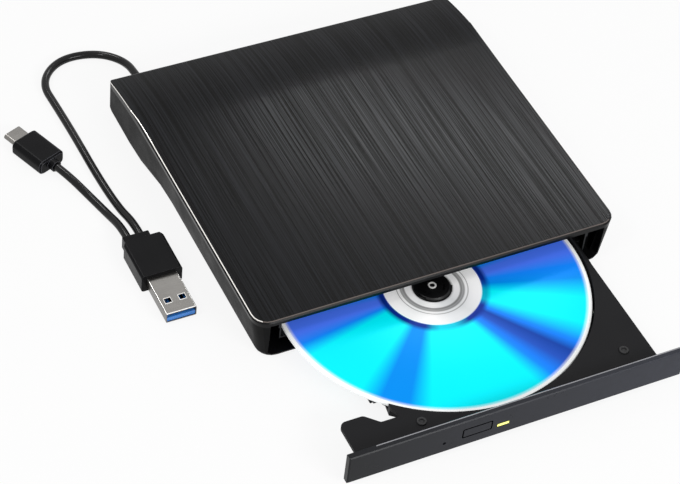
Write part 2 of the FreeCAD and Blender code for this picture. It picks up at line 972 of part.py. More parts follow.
def rail_guide(wall, inward):
    """Moulded channel on the chassis wall that carries a rail; inward is the side it opens to."""
    reach = guide_web + rail_gap + rail_width * guide_cover

    def span(a, b):
        return min(wall + inward * a, wall + inward * b), max(wall + inward * a, wall + inward * b)

    y0 = chassis_front + guide_front_inset
    y1 = chassis_rear_in - guide_rear_inset
    web = span(0, guide_web)
    lip = span(0, reach)
    parts = [
        block(web[0], web[1], y0, y1, pan_floor, guide_top),
        block(lip[0], lip[1], y0, y1, pan_floor, pan_floor + guide_base),
        block(lip[0], lip[1], y0, y1, rail_top + rail_gap, guide_top),
    ]
    return join(parts)


def rail_side(wall, inward):
    """X of a rail's outer and inner face."""
    outer = wall + inward * (guide_web + rail_gap)
    inner = outer + inward * rail_width
    return outer, inner


def telescopic_rail(wall, inward):
    outer, inner = rail_side(wall, inward)
    y0 = case_front - rail_front_out
    y1 = y0 + rail_length
    body = block(min(outer, inner), max(outer, inner), y0, y1, rail_bottom, rail_top)
    cut_face = inner - inward * rail_groove_depth
    half = rail_groove_height / 2
    groove = block(
        min(inner, cut_face), max(inner, cut_face), y0 - 1, y1 + 1,
        rail_mid - half, rail_mid + half,
    )
    body = body.cut(groove)
    long_edges = [
        e for e in body.Edges
        if e.BoundBox.YLength > rail_length - 1 and abs(e.BoundBox.Center.x - outer) < 0.01
    ]
    return body.makeChamfer(rail_chamfer, long_edges)


# Tray


def tray_outline():
    yb = bezel_rear
    return [
        (tab_left, yb),
        (tray_right, yb),
        (tray_right, tray_rear, tray_corner_radius),
        (tray_left, tray_rear, tray_corner_radius),
        (tray_left, yb + tray_left_start),
        (tray_left + 2.4, yb + tray_left_start - 4.0),
        (tray_left + 1.6, yb + tab_notch_depth + 4.4),
        (tray_left + 3.8, yb + tab_notch_depth, 0.5),
        (tab_left + tab_root, yb + tab_notch_depth, 1.6),
        (tab_left + tab_tip, yb + tab_depth, 2.2),
        (tab_left, yb + tab_depth, tab_corner),
    ]


def turn_traverse(shape):
    """Turns a piece built along U and V about the origin to its place under the disc."""
    placed = shape.copy()
    placed.rotate(vec(0, 0, 0), vec(0, 0, 1), traverse_angle)
    placed.translate(vec(disc_x, disc_y, 0))
    return placed


def tray_frame():
    yb = bezel_rear
    outline = tray_outline()
    deck = plate(outline, deck_under, deck_top)
    recess = post(disc_x, disc_y, tray_floor_top, deck_top + 1, recess_radius)
    deck = deck.cut(recess)
    whole = plate(outline, tray_floor_under, deck_under)
    ring = post(disc_x, disc_y, tray_floor_under, deck_under, recess_radius + recess_wall)
    dish = whole.common(ring).cut(recess)
    inner_front = yb + tray_wall
    right_wall = block(tray_right - tray_wall, tray_right, yb, tray_rear, tray_bottom, deck_under).cut(recess)
    left_start = yb + tray_left_start
    left_wall = block(tray_left, tray_left + tray_wall, left_start, tray_rear, tray_bottom, tray_floor_top)
    front_left = tray_left + front_wall_inset
    front_wall = block(front_left, tray_right, yb, inner_front, tray_bottom, deck_under)
    wall_left = tray_left + tray_corner_radius
    wall_right = tray_right - tray_corner_radius
    rear_start = tray_rear - tray_rear_wall
    rear_wall = block(wall_left, wall_right, rear_start, tray_rear, tray_floor_under, deck_top)
    tab_rib_low = deck_under - tab_rib_height
    tab_rib_x = tab_left + tab_rib_inset
    cross_rib_x = tab_rib_x + tab_rib_pitch
    rib_left = latch_pivot_x + latch_rib_offset
    rib_right = rib_left + tray_rib
    side_ribs = [
        block(tray_right - right_rib_length, tray_right, disc_y - 2, disc_y - 0.5, tray_bottom, tray_floor_under),
        block(rib_left, rib_right, inner_front + 17, disc_y - 26, tray_bottom, tray_floor_under),
        block(tab_rib_x, front_left - 1, yb, yb + tab_rib, tab_rib_low, deck_under),
        block(cross_rib_x, cross_rib_x + tab_rib, yb, yb + tab_depth - tab_rib_pitch, tab_rib_low, deck_under),
    ]
    bosses = []
    for x, y in tray_screw_places():
        outside = math.hypot(x - disc_x, y - disc_y) > recess_radius + recess_wall
        top = deck_under if outside else tray_floor_top
        bosses.append(faceted_post(x, y, tray_bottom, top, tray_boss_radius))
    boss_low = latch_bottom + latch_thickness + latch_play
    latch_boss = faceted_post(latch_pivot_x, latch_pivot_y, boss_low, tray_floor_top, latch_boss_radius)
    latch_post = faceted_post(latch_pivot_x, latch_pivot_y, latch_bottom, tray_floor_top, latch_post_radius)
    walls = [right_wall, left_wall, front_wall, rear_wall]
    solid = join([deck, dish] + walls + [latch_boss, latch_post] + side_ribs + bosses)
    tongues = []
    for wall, inward, root in ((drive_in, -1, tray_right), (step_in, 1, tray_left)):
        outer, inner = rail_side(wall, inward)
        tip = inner - inward * (rail_groove_depth - tongue_end_gap)
        tongues.append(
            block(min(tip, root), max(tip, root), yb + runner_front, tray_rear,
                  rail_mid - tongue_height / 2, rail_mid + tongue_height / 2)
        )
    solid = join([solid] + tongues)
    half = plate_half_width + window_gap
    window = block(plate_inner - window_gap, plate_outer + window_gap, -half, half, tray_bottom - 1, tray_floor_top)
    solid = solid.cut(turn_traverse(window))
    half = step_motor_radius + motor_side_gap
    motor_end = step_motor_start + step_motor_length + motor_end_gap
    motor_room = block(step_motor_start - 1, motor_end, screw_v - half, screw_v + half, tray_bottom - 1, deck_under)
    solid = solid.cut(turn_traverse(motor_room))
    magnet_x = latch_pivot_x + magnet_offset_x
    magnet_y = latch_pivot_y + magnet_offset_y
    g = magnet_gap
    x1 = magnet_x + magnet_length + g
    y1 = magnet_y + magnet_depth + g
    solid = solid.cut(block(magnet_x - g, x1, magnet_y - g, y1, tray_bottom, tray_floor_top + 0.1))
    for x, y in pad_places():
        solid = solid.cut(faceted_post(x, y, deck_top - pad_sunk, deck_top + 1, pad_radius + pad_gap))
    solid = solid.cut(stem_box(stem_gap, yb - 1, inner_front + 1, stem_width))
    stem_x = button_left + button_width / 2
    room_rear = inner_front + switch_room_depth
    room_top = button_bottom + stem_height + stem_gap
    for middle, half in ((stem_x, barb_width / 2 + 1.2), (lamp_left + lamp_width / 2, 2.6)):
        solid = solid.cut(block(middle - half, middle + half, inner_front, room_rear, tray_bottom, room_top))
    solid = solid.cut(lamp_block(lamp_guide_gap, yb - 1, yb + lamp_guide + lamp_guide_gap))
    hole_start = vec(release_x, yb - 1, release_z)
    solid = solid.cut(faceted_rod(hole_start, vec(0, 1, 0), tray_wall + 2, release_radius + release_gap))
    for x, y in tray_screw_places():
        hole_radius = tray_screw_radius + pilot_gap
        solid = solid.cut(faceted_post(x, y, tray_bottom - 1, tray_bottom + tray_screw_length + 0.5, hole_radius))
    return solid


def stem_box(gap, y0, y1, width):
    """Space of the button's stem, gap wider all round, between two depths."""
    x = button_left + button_width / 2
    half = width / 2 + gap
    return block(x - half, x + half, y0, y1, button_bottom - gap, button_bottom + stem_height + gap)


def tray_screw_places():
    yb = bezel_rear
    rear = disc_y + tray_screw_rear
    front = [(tray_right - 4.9, yb + 5.5), (front_screw_x, yb + front_screw_inset)]
    return front + [(tray_right - right_screw_inset, rear), (tray_left + left_screw_inset, rear)]


def pad_places():
    return [(pad_left_x, bezel_front + pad_left_inset), (pad_right_x, bezel_front + pad_right_inset)]


def bumper_pads():
    pads = []
    for x, y in pad_places():
        pad = faceted_post(x, y, deck_top - pad_sunk, deck_top + pad_proud, pad_radius)
        pads.append(pad.makeChamfer(pad_chamfer, top_edges(pad)))
    return group(pads)


def bezel():
    half = bezel_width / 2
    panel = block(-half, half, bezel_front, bezel_rear, bezel_bottom, bezel_top)
    front_edges = [e for e in panel.Edges if e.BoundBox.YMax < bezel_front + 0.01]
    panel = panel.makeChamfer(bezel_bevel, front_edges)
    top_back = [
        e for e in panel.Edges
        if e.BoundBox.YMin > bezel_rear - 0.01 and e.BoundBox.ZMin > bezel_top - 0.01
    ]
    panel = panel.makeChamfer(bezel_back_chamfer, top_back)
    panel = panel.cut(button_block(button_gap, bezel_front - 1, bezel_rear + 1))
    panel = panel.cut(lamp_block(lamp_gap, bezel_front - 1, bezel_rear + 1))
    hole_start = vec(release_x, bezel_front - 1, release_z)
    panel = panel.cut(faceted_rod(hole_start, vec(0, 1, 0), 5, release_radius))
    return panel


def button_block(gap, y0, y1):
    """Space of the button's cap, gap wider all round, between two depths."""
    right = button_left + button_width + gap
    top = button_bottom + button_height + gap
    return prism_y(rect(button_left - gap, right, button_bottom - gap, top, button_corner), y0, y1)


def eject_button():
    cap = button_block(0, bezel_front, bezel_front + button_depth)
    rim = [e for e in cap.Edges if e.BoundBox.YMax < bezel_front + 0.01]
    cap = cap.makeChamfer(button_chamfer, rim)
    inner_front = bezel_rear + tray_wall
    stem = stem_box(0, bezel_front + button_depth - 0.1, inner_front + stem_reach, stem_width)
    barb = stem_box(0, inner_front + barb_gap, inner_front + barb_gap + barb_length, barb_width)
    return join([cap, stem, barb])


def lamp_block(gap, y0, y1):
    """Space of the lamp's lens, gap wider all round, between two depths."""
    right = lamp_left + lamp_width + gap
    return block(lamp_left - gap, right, y0, y1, lamp_bottom - gap, lamp_bottom + lamp_height + gap)


def lamp_lens():
    lens = lamp_block(0, bezel_front, bezel_rear + lamp_guide)
    front = [e for e in lens.Edges if e.BoundBox.YMax < bezel_front + 0.01]
    return lens.makeChamfer(lamp_chamfer, front)


def switch_board():
    y0 = bezel_rear + tray_wall + 4.6
    board = block(switch_board_left, switch_board_right, bezel_rear + tray_wall + 0.6, y0, tray_bottom + 0.1,
                  tray_bottom + 1.1)
    hole_y = bezel_rear + front_screw_inset
    hole = faceted_post(front_screw_x, hole_y, tray_bottom - 1, tray_bottom + 3, tray_boss_radius + 0.4)
    lamp_x = lamp_left + lamp_width / 2
    lamp = block(lamp_x - 1.6, lamp_x + 1.6, bezel_rear + tray_wall + 0.9, bezel_rear + tray_wall + 2.5,
                 tray_bottom + 1.1, tray_floor_top)
    return join([board.cut(hole), lamp])


def eject_switch():
    x = button_left + button_width / 2
    y = bezel_rear + tray_wall + stem_reach + button_travel + 0.15
    case = block(x - 1.8, x + 1.8, y + 0.5, y + 2.0, tray_bottom + 1.1, button_bottom + stem_height)
    plunger = faceted_rod(vec(x, y, button_bottom), vec(0, 1, 0), 0.7, 0.5)
    return join([case, plunger])


def tray_bottom_cover():
    yb = bezel_rear
    z1 = tray_bottom
    z0 = tray_bottom - bottom_sheet
    left = tray_left + front_wall_inset
    inner_left = pin_x + cover_pin_gap
    right = tray_right - cover_side_gap
    rear = disc_y + bottom_sheet_rear
    front = yb + cover_front_gap
    strip = yb + cover_front_strip
    sheet_plate = plate(
        [
            (left, front), (right, front, cover_corner), (right, rear, cover_corner),
            (inner_left, rear), (inner_left, strip), (left, strip),
        ],
        z0, z1,
    )
    y0 = disc_y + cover_slot_front
    y1 = y0 + cover_slot_width
    for k in range(cover_slots):
        x = right - cover_slot_inset - k * cover_slot_pitch
        sheet_plate = sheet_plate.cut(block(x, x + cover_slot_length, y0, y1, z0 - 1, z1 + 1))
    for x, y in tray_screw_places():
        if y < rear:
            sheet_plate = sheet_plate.cut(faceted_post(x, y, z0 - 1, z1 + 1, tray_screw_radius + hole_gap))
    return sheet_plate


def tray_screws():
    screws = []
    for x, y in tray_screw_places():
        z = tray_bottom - bottom_sheet if y < disc_y + bottom_sheet_rear else tray_bottom
        head = faceted_post(x, y, z - tray_screw_head_height, z, tray_screw_head_radius, fastener_sides)
        shank = faceted_post(x, y, z - 0.1, tray_bottom + tray_screw_length, tray_screw_radius, fastener_sides)
        screws.append(join([head, shank]))
    return group(screws)


# Spindle, claws and disc


def disc():
    body = post(disc_x, disc_y, disc_under, disc_top, disc_radius)
    return body.cut(post(disc_x, disc_y, disc_under - 1, disc_top + 1, disc_hole_radius))


def turntable():
    rotor_roof_z = disc_under - rotor_roof
    table = faceted_post(disc_x, disc_y, disc_under - table_thickness, disc_under, table_radius, round_sides)
    rotor = faceted_post(disc_x, disc_y, rotor_bottom, disc_under, rotor_radius, round_sides)
    well_radius = stator_radius + rotor_gap
    well = faceted_post(disc_x, disc_y, rotor_bottom - 1, rotor_roof_z, well_radius, round_sides)
    hub = faceted_post(disc_x, disc_y, disc_under - 0.2, hub_top, hub_radius, round_sides)
    hub = hub.makeChamfer(hub_chamfer, top_edges(hub))
    shaft_low = plate_bottom + plate_thickness + shaft_end_gap
    shaft = faceted_post(disc_x, disc_y, shaft_low, disc_under, spindle_shaft_radius)
    body = join([table, rotor, hub]).cut(well)
    body = join([body, shaft])
    cuts = []
    for k in range(claw_count):
        half = claw_width / 2 + claw_gap
        inner = hub_radius - claw_length - claw_travel - claw_gap
        top = claw_bottom + claw_height + claw_gap
        cuts.append(turn_claw(block(inner, hub_radius + 1, -half, half, claw_bottom - claw_gap, top), k))
    dish = faceted_post(disc_x, disc_y, hub_top - hub_dome_depth, hub_top + 1, hub_dome_radius, round_sides)
    return body.cut(cuts).cut(dish)


def turn_claw(shape, k):
    placed = shape.copy()
    placed.rotate(vec(0, 0, 0), vec(0, 0, 1), 90 + 360.0 * k / claw_count)
    placed.translate(vec(disc_x, disc_y, 0))
    return placed


def hub_claw(k):
    z0 = claw_bottom
    z1 = claw_bottom + claw_height
    tip = hub_radius + claw_proud
    nose = [
        (hub_radius - claw_length, z0), (hub_radius - 0.1, z0), (hub_radius - 0.1, disc_top + 0.15),
        (tip, disc_top + 0.35), (tip - 0.25, z1), (hub_radius - claw_length, z1),
    ]
    claw = prism_y(nose, -claw_width / 2, claw_width / 2)
    return turn_claw(claw, k)


def spindle_cap():
    low = hub_top - hub_dome_depth
    ring = faceted_post(disc_x, disc_y, low, low + cap_height, cap_radius, foot_sides)
    return ring.cut(faceted_post(disc_x, disc_y, low - 1, hub_top + 1, cap_radius - cap_width, foot_sides))


def spindle_stator():
    low = plate_bottom + plate_thickness
    high = disc_under - rotor_roof - stator_roof_gap
    half = stator_tooth_width / 2
    shoe_half = stator_shoe_width / 2
    base = faceted_post(disc_x, disc_y, low, rotor_bottom - stator_base_gap, rotor_radius, round_sides)
    sleeve = faceted_post(disc_x, disc_y, low, high + 0.3, stator_sleeve_radius)
    teeth = []
    for k in range(stator_teeth):
        arm = block(stator_sleeve_radius - 0.4, stator_radius - 0.8, -half, half, low, high)
        shoe = block(stator_radius - stator_shoe_depth, stator_radius, -shoe_half, shoe_half, low, high)
        for piece in (arm, shoe):
            piece.rotate(vec(0, 0, 0), vec(0, 0, 1), 360.0 * k / stator_teeth)
            piece.translate(vec(disc_x, disc_y, 0))
            teeth.append(piece)
    body = join([base, sleeve] + teeth)
    bore = faceted_post(disc_x, disc_y, low + 0.2, disc_under, spindle_shaft_radius + spindle_bore_gap)
    return body.cut(bore)


# Pickup traverse


def traverse_plate():
    z0 = plate_bottom
    z1 = plate_bottom + plate_thickness
    body = block(plate_inner, plate_outer, -plate_half_width, plate_half_width, z0, z1)
    window = block(sled_inner - 7.6, rod_outer - window_end, screw_v - 1.8, side_rod_v + 2.4, z0 - 1, z1 + 1)
    body = body.cut(window)
    clamps = []
    top = rod_height + clamp_rise
    half = clamp_half_width
    for v in (main_rod_v, side_rod_v):
        for u in (rod_inner - 1.0, rod_outer - 1.4):
            clamps.append(block(u, u + clamp_length, v - half, v + half, z1 - 0.1, top))
    bearing = block(screw_inner - 2.4, screw_inner - screw_end_gap, screw_v - 1.6, screw_v + 1.6, z1 - 0.1, top)
    body = join([body, bearing] + clamps)
    for v in (main_rod_v, side_rod_v):
        body = body.cut(guide_rod(v))
    bearing_start = vec(screw_inner - 1.6, screw_v, rod_height)
    body = body.cut(faceted_rod(bearing_start, vec(1, 0, 0), 5, journal_radius + rod_gap))
    motor_slot = block(step_motor_start - 1.6, plate_outer + 1, screw_v - 2.8, screw_v + 2.8, z0 - 1, z1 + 1)
    return turn_traverse(body.cut(motor_slot))


def guide_rod(v):
    return faceted_rod(vec(rod_inner, v, rod_height), vec(1, 0, 0), rod_outer - rod_inner, rod_radius)


def guide_rods():
    return turn_traverse(group([guide_rod(main_rod_v), guide_rod(side_rod_v)]))


def sled_body():
    u0 = sled_rest - sled_length / 2
    u1 = sled_rest + sled_length / 2
    base = block(u0, u1, sled_left, sled_right, sled_bottom, sled_top)
    low = rod_height - bearing_half_height
    high = rod_height + bearing_half_height
    hook = block(u0 + 3.5, u1 - 3.5, sled_right - 0.5, side_rod_v + bearing_half_width, low, high)
    bearing = block(u0, u1, main_rod_v - bearing_half_width, main_rod_v + bearing_half_width, low, high)
    follower = block(sled_rest - 2.4, sled_rest + 2.4, screw_v + screw_radius + 0.15, sled_left + 0.3,
                     rod_height - 0.7, rod_height + 0.7)
    body = join([base, hook, bearing, follower])
    well = block(sled_rest - holder_length / 2 - 0.4, sled_rest + holder_length / 2 + 0.4,
                 -holder_width / 2 - 0.4, holder_width / 2 + 0.4, sled_bottom + 0.4, sled_top + 1)
    body = body.cut(well)
    for v in (main_rod_v, side_rod_v):
        bore = faceted_rod(vec(u0 - 1, v, rod_height), vec(1, 0, 0), sled_length + 2, rod_radius + rod_gap)
        body = body.cut(bore)
    mouth = block(u0 - 1, u1 + 1, side_rod_v, side_rod_v + 3, rod_height - 0.85, rod_height + 0.85)
    return turn_traverse(body.cut(mouth))


def laser_unit():
    u = sled_rest
    can = block(u - 3.0, u + 3.0, 7.6, sled_right - 0.8, sled_top, sled_top + 0.45)
    fins = [block(u - 2.4 + 1.2 * k, u - 1.9 + 1.2 * k, 8.0, sled_right - 1.2, sled_top + 0.4, sled_top + 0.6)
            for k in range(5)]
    return turn_traverse(join([can] + fins))


def lens_holder():
    u = sled_rest
    low = sled_bottom + holder_lift
    high = lens_top - 0.55
    body = block(u - holder_length / 2 + 0.4, u + holder_length / 2 - 0.4, -holder_width / 2 + 0.4,
                 holder_width / 2 - 0.4, low, high)
    body = join([body, faceted_post(u, 0, high - 0.1, lens_top - 0.15, lens_radius + lens_rim, foot_sides)])
    return turn_traverse(body.cut(faceted_post(u, 0, low + lens_seat, lens_top + 1, lens_radius)))


def objective_lens():
    levels = [
        (sled_bottom + holder_lift + lens_seat, lens_radius),
        (lens_top - lens_dome, lens_radius),
        (lens_top, lens_flat_radius),
    ]
    outlines = [polygon(sled_rest, 0, z, radius, small_sides) for z, radius in levels]
    return turn_traverse(Part.makeLoft(outlines, True, True))


def lead_screw():
    length = step_motor_start - screw_inner - screw_end_gap
    along = vec(1, 0, 0)
    core = faceted_rod(vec(screw_inner, screw_v, rod_height), along, length, screw_root_radius)
    thread_start = screw_inner + screw_relief
    thread_length = rod_outer - window_end - screw_relief - thread_start
    threaded = faceted_rod(vec(thread_start, screw_v, rod_height), along, thread_length, screw_radius)
    journal = faceted_rod(vec(screw_inner - 1.4, screw_v, rod_height), along, 1.5, journal_radius)
    return turn_traverse(join([core, threaded, journal]))


def step_motor():
    start = vec(step_motor_start, screw_v, rod_height + step_motor_lift)
    can = faceted_rod(start, vec(1, 0, 0), step_motor_length, step_motor_radius, foot_sides)
    lug = block(step_motor_start, step_motor_start + 1.0, screw_v - 2.3, screw_v + 2.3, plate_bottom, rod_height)
    return turn_traverse(join([can, lug]))


def lens_shroud():
    z0 = tray_floor_top
    z1 = tray_floor_top + shroud_thickness
    half = plate_half_width + shroud_overhang
    body = block(plate_inner - shroud_overhang, plate_outer, -half, half, z0, z1)
    body = body.common(post(0, 0, z0 - 1, z1 + 1, recess_radius - 0.4))
    body = body.cut(faceted_post(0, 0, z0 - 1, z1 + 1, table_radius + 0.6, round_sides))
    body = body.cut(plate(rect(sled_inner - 8.0, recess_radius - 2.4, -5.6, 14.4, 2.0), z0 - 1, z1 + 1))
    return turn_traverse(body)


# Latch


def latch_lever():
    px = latch_pivot_x
    py = latch_pivot_y
    w = latch_half_width
    tip = py + latch_arm
    arm = plate(
        [
            (px - w, py), (px + w, py), (px + w, tip), (px - latch_hook + 0.3, tip),
            (px - latch_hook + 0.3, tip - 0.9), (px - w, tip - 1.9),
        ],
        latch_bottom, latch_bottom + latch_thickness,
    )
    top = latch_bottom + latch_thickness
    eye = faceted_post(px, py, latch_bottom, top, latch_eye_radius)
    tail = block(px, px + latch_tail, py - 0.8, py + 0.8, latch_bottom, top)
    lever = join([arm, eye, tail])
    return lever.cut(faceted_post(px, py, latch_bottom - 1, top + 1, latch_post_radius + latch_bore_gap))


def latch_magnet():
    x0 = latch_pivot_x + magnet_offset_x
    y0 = latch_pivot_y + magnet_offset_y
    high = tray_bottom + magnet_height
    middle = vec(x0, y0 + magnet_depth / 2, tray_bottom + magnet_height / 2)
    coil = faceted_rod(middle, vec(1, 0, 0), magnet_length, magnet_height / 2 - coil_inset)
    y1 = y0 + magnet_depth
    x1 = x0 + magnet_length
    ends = [block(x, x + magnet_end, y0, y1, tray_bottom, high) for x in (x0, x1 - magnet_end)]
    yoke = block(x0, x1, y1 - magnet_yoke, y1, tray_bottom, high)
    return join([coil, yoke] + ends)


# Boards and connectors


def drive_board():
    z0 = pan_floor + drive_board_lift
    z1 = z0 + board_thickness
    y0 = drive_board_front
    board = block(drive_board_left, drive_board_right, y0, y0 + drive_board_length, z0, z1)
    places = (drive_board_left + board_foot_inset, drive_board_right - board_foot_inset)
    feet = [faceted_post(x, y0 + 4, pan_floor, z0, board_foot_radius) for x in places]
    chips = []
    for x, y, a, b in drive_board_chips:
        chips.append(block(x, x + a, y0 + y, y0 + y + b, z1 - 0.1, z1 + chip_height))
    return join([board] + feet + chips)


def drive_socket():
    z0 = pan_floor + drive_board_lift + board_thickness
    y1 = chassis_rear_in
    half = sata_width / 2
    body = block(-half, half, y1 - socket_depth, y1 + sheet, z0, z0 + socket_height)
    half = half - socket_wall
    low = z0 + blade_lift - blade_gap
    high = z0 + blade_lift + blade_thickness + blade_gap
    return body.cut(block(-half, half, y1 - socket_mouth, y1 + 1, low, high))


def flex_cable():
    t = flex_thickness
    x0 = flex_left
    x1 = flex_left + flex_width
    rear = drive_board_front
    start = disc_y + flex_root_inset
    near = start + flex_front_gap
    fold = near + flex_fold_length
    low = pan_floor + flex_floor_gap
    mid = low + 3 * t
    high = tray_floor_under - flex_tray_gap - t

    def layer(y0, y1, z):
        return block(x0, x1, y0, y1, z, z + t)

    def bend(y, z_low, z_high, side):
        centre = (z_low + z_high + t) / 2
        outer = (z_high + t - z_low) / 2
        ring = rod(vec(x0, y, centre), vec(1, 0, 0), x1 - x0, outer)
        ring = ring.cut(rod(vec(x0 - 1, y, centre), vec(1, 0, 0), x1 - x0 + 2, outer - t))
        half = block(x0, x1, y, y + outer, z_low, z_high + t)
        if side < 0:
            half = block(x0, x1, y - outer, y, z_low, z_high + t)
        return ring.common(half)

    pieces = [
        layer(near, rear, low),
        bend(near, low, mid, -1),
        layer(near, fold, mid),
        bend(fold, mid, high, 1),
        layer(start, fold, high),
        block(x0, x1, start, start + flex_stiffener, high + t, tray_floor_under),
    ]
    return join(pieces)


def bridge_board():
    top = bridge_height + board_thickness
    return block(bridge_left, bridge_right, bridge_front, bridge_rear, bridge_height, top)


def bridge_parts():
    y0 = bridge_front
    z = bridge_height + board_thickness
    parts = []
    for along, deep, length, width, height in bridge_board_parts:
        start = bridge_left + along
        parts.append(block(start, start + length, y0 + deep, y0 + deep + width, z, z + height))
    parts.append(faceted_post(bridge_right - 4.0, y0 + 3, z, z + capacitor_height, capacitor_radius))
    return group(parts)


def bridge_connector():
    z0 = pan_floor + drive_board_lift + board_thickness
    y0 = chassis_rear + lid_flange_thickness
    half = sata_width / 2
    blade_half = half - blade_inset
    low = z0 + blade_lift
    z = bridge_height + board_thickness
    body = block(-half, half, y0, bridge_front + connector_cover, z, z + connector_height)
    blade = block(-blade_half, blade_half, chassis_rear - blade_reach, y0 + 0.2, low, low + blade_thickness)
    neck = block(-blade_half, blade_half, y0, y0 + 0.9, low, z + 0.2)
    return join([body, blade, neck])


def lead_grommet():
    y0 = rear_inside - grommet_inside
    y1 = case_rear + grommet_proud
    axis = vec(0, 1, 0)
    start = vec(lead_exit_x, y0, lead_exit_z)
    body = faceted_rod(start, axis, y1 - y0, grommet_radius - grommet_gap, foot_sides)
    outer = [e for e in body.Edges if e.BoundBox.YMin > y1 - 0.01]
    body = body.makeChamfer(grommet_chamfer, outer)
    flange_radius = min(grommet_flange_radius, lead_exit_z - floor_top)
    flange_start = vec(lead_exit_x, rear_inside - grommet_flange, lead_exit_z)
    inner = faceted_rod(flange_start, axis, grommet_flange, flange_radius, foot_sides)
    wire_start = vec(lead_exit_x, y0 - grommet_wire, lead_exit_z)
    wire = faceted_rod(wire_start, axis, grommet_wire + 0.2, lead_diameter / 2)
    return join([body, inner, wire])


# Lead and plugs


def lead_tube(route, name):
    points = [vec(*p) for p in route]
    edges = []
    last = points[0]
    length = 0
    radii = []
    for i in range(1, len(points) - 1):
        here = points[i]
        back = (points[i - 1] - here)
        ahead = (points[i + 1] - here)
        short = min(back.Length, ahead.Length)
        back.normalize()
        ahead.normalize()
        turn = math.pi - back.getAngle(ahead)
        reach = 0.45 * short
        radius = reach / math.tan(turn / 2)
        radii.append(round(radius, 1))
        first = here + back * reach
        second = here + ahead * reach
        middle = (back + ahead).normalize()
        mid = here + middle * (radius / math.cos(turn / 2) - radius)
        edges.append(Part.LineSegment(last, first).toShape())
        edges.append(Part.Arc(first, mid, second).toShape())
        length += (first - last).Length + radius * turn
        last = second
    edges.append(Part.LineSegment(last, points[-1]).toShape())
    length += (points[-1] - last).Length
    path = Part.Wire(edges)
    ahead = (points[1] - points[0]).normalize()
    across = vec(0, 0, 1).cross(ahead).normalize()
    up = ahead.cross(across)
    corners = []
    for k in range(lead_sides + 1):
        turn = 2 * math.pi * (k + 0.5) / lead_sides
        corners.append(points[0] + (across * math.cos(turn) + up * math.sin(turn)) * (lead_diameter / 2))
    tube = path.makePipeShell([Part.makePolygon(corners)], True, False)
    section = lead_sides * lead_diameter ** 2 / 8 * math.sin(2 * math.pi / lead_sides)
    ratio = round(tube.Volume / section / length, 4)
    print(name, "radii", radii, "length", round(length, 1), "volume ratio", ratio)
    return tube


def plug_a_body():
    half = plug_a_width / 2
    y0 = plug_a_front
    y1 = plug_a_front + plug_a_length
    body = block(plug_a_x - half, plug_a_x + half, y0, y1, 0, plug_a_height)
    along = [e for e in body.Edges if e.BoundBox.YLength > plug_a_length - 0.1]
    body = body.makeFillet(plug_a_corner, along)
    side = plug_a_x - half
    shoulders = [(side - 1, y1 + 1), (side - 1, y1 - plug_a_shoulder), (side + 2.2, y1 + 1)]
    body = body.cut(plate(shoulders, -1, plug_a_height + 1))
    mirrored = [(2 * plug_a_x - x, y) for x, y in shoulders]
    body = body.cut(plate(mirrored, -1, plug_a_height + 1))
    mid = (lead_route[-1][0] + pigtail_route[0][0]) / 2
    half = plug_a_neck_width / 2
    low = (plug_a_height - plug_a_neck_height) / 2
    neck = block(mid - half, mid + half, y1 - 1, y1 + plug_a_neck, low, low + plug_a_neck_height)
    ends = [e for e in neck.Edges if e.BoundBox.YMin > y1 + plug_a_neck - 0.01]
    neck = neck.makeFillet(plug_a_neck_round, ends)
    body = join([body, neck])
    half = shell_a_width / 2
    low = (plug_a_height - shell_a_height) / 2
    pocket = block(plug_a_x - half, plug_a_x + half, y0 - 1, y0 + shell_a_root, low, low + shell_a_height)
    return body.cut(pocket)


def plug_a_shell():
    x0 = plug_a_x - shell_a_width / 2
    x1 = plug_a_x + shell_a_width / 2
    z0 = plug_a_height / 2 - shell_a_height / 2
    z1 = plug_a_height / 2 + shell_a_height / 2
    tip = plug_a_front - shell_a_length
    w = shell_a_wall
    body = block(x0, x1, tip, plug_a_front + shell_a_root, z0, z1)
    along = [e for e in body.Edges if e.BoundBox.YLength > shell_a_length]
    body = body.makeFillet(shell_a_corner, along)
    floor = plug_a_front + shell_a_root - shell_a_floor
    body = body.cut(block(x0 + w, x1 - w, tip - 1, floor, z0 + w, z1 - w))
    half = shell_a_hole_width / 2
    y0 = tip + shell_a_hole_start
    y1 = y0 + shell_a_hole_length
    for x in (plug_a_x - shell_a_hole_x, plug_a_x + shell_a_hole_x):
        body = body.cut(block(x - half, x + half, y0, y1, z1 - 1, z1 + 1))
        body = body.cut(block(x - half, x + half, y0, y1, z0 - 1, z0 + w + 0.2))
    return body


def plug_a_tongue():
    half = shell_a_width / 2 - shell_a_wall - tongue_a_gap
    tip = plug_a_front - shell_a_length + tongue_a_inset
    rear = plug_a_front + shell_a_root - shell_a_floor - tongue_a_gap
    top = tongue_a_low + tongue_a_thickness
    body = block(plug_a_x - half, plug_a_x + half, tip, rear, tongue_a_low, top)
    groove = contact_width / 2 + contact_gap
    for x in contact_places():
        start = tip + contact_start - contact_end_gap
        end = tip + contact_start + contact_length + contact_end_gap
        body = body.cut(block(x - groove, x + groove, start, end, top - contact_depth, top + 1))
    return body


def contact_places():
    """X of the four contacts of the large plug."""
    return [plug_a_x + contact_pitch * (k - 1.5) for k in range(4)]


def plug_a_contacts():
    floor = tongue_a_low + tongue_a_thickness - contact_depth
    start = plug_a_front - shell_a_length + tongue_a_inset + contact_start
    half = contact_width / 2
    blades = []
    for x in contact_places():
        top = floor + contact_thickness
        blades.append(block(x - half, x + half, start, start + contact_length, floor, top))
    return group(blades)


def place_plug_c(shape):
    placed = shape.copy()
    placed.rotate(vec(0, 0, 0), vec(0, 0, 1), plug_c_turn)
    placed.translate(vec(plug_c_x, plug_c_y, 0))
    return placed


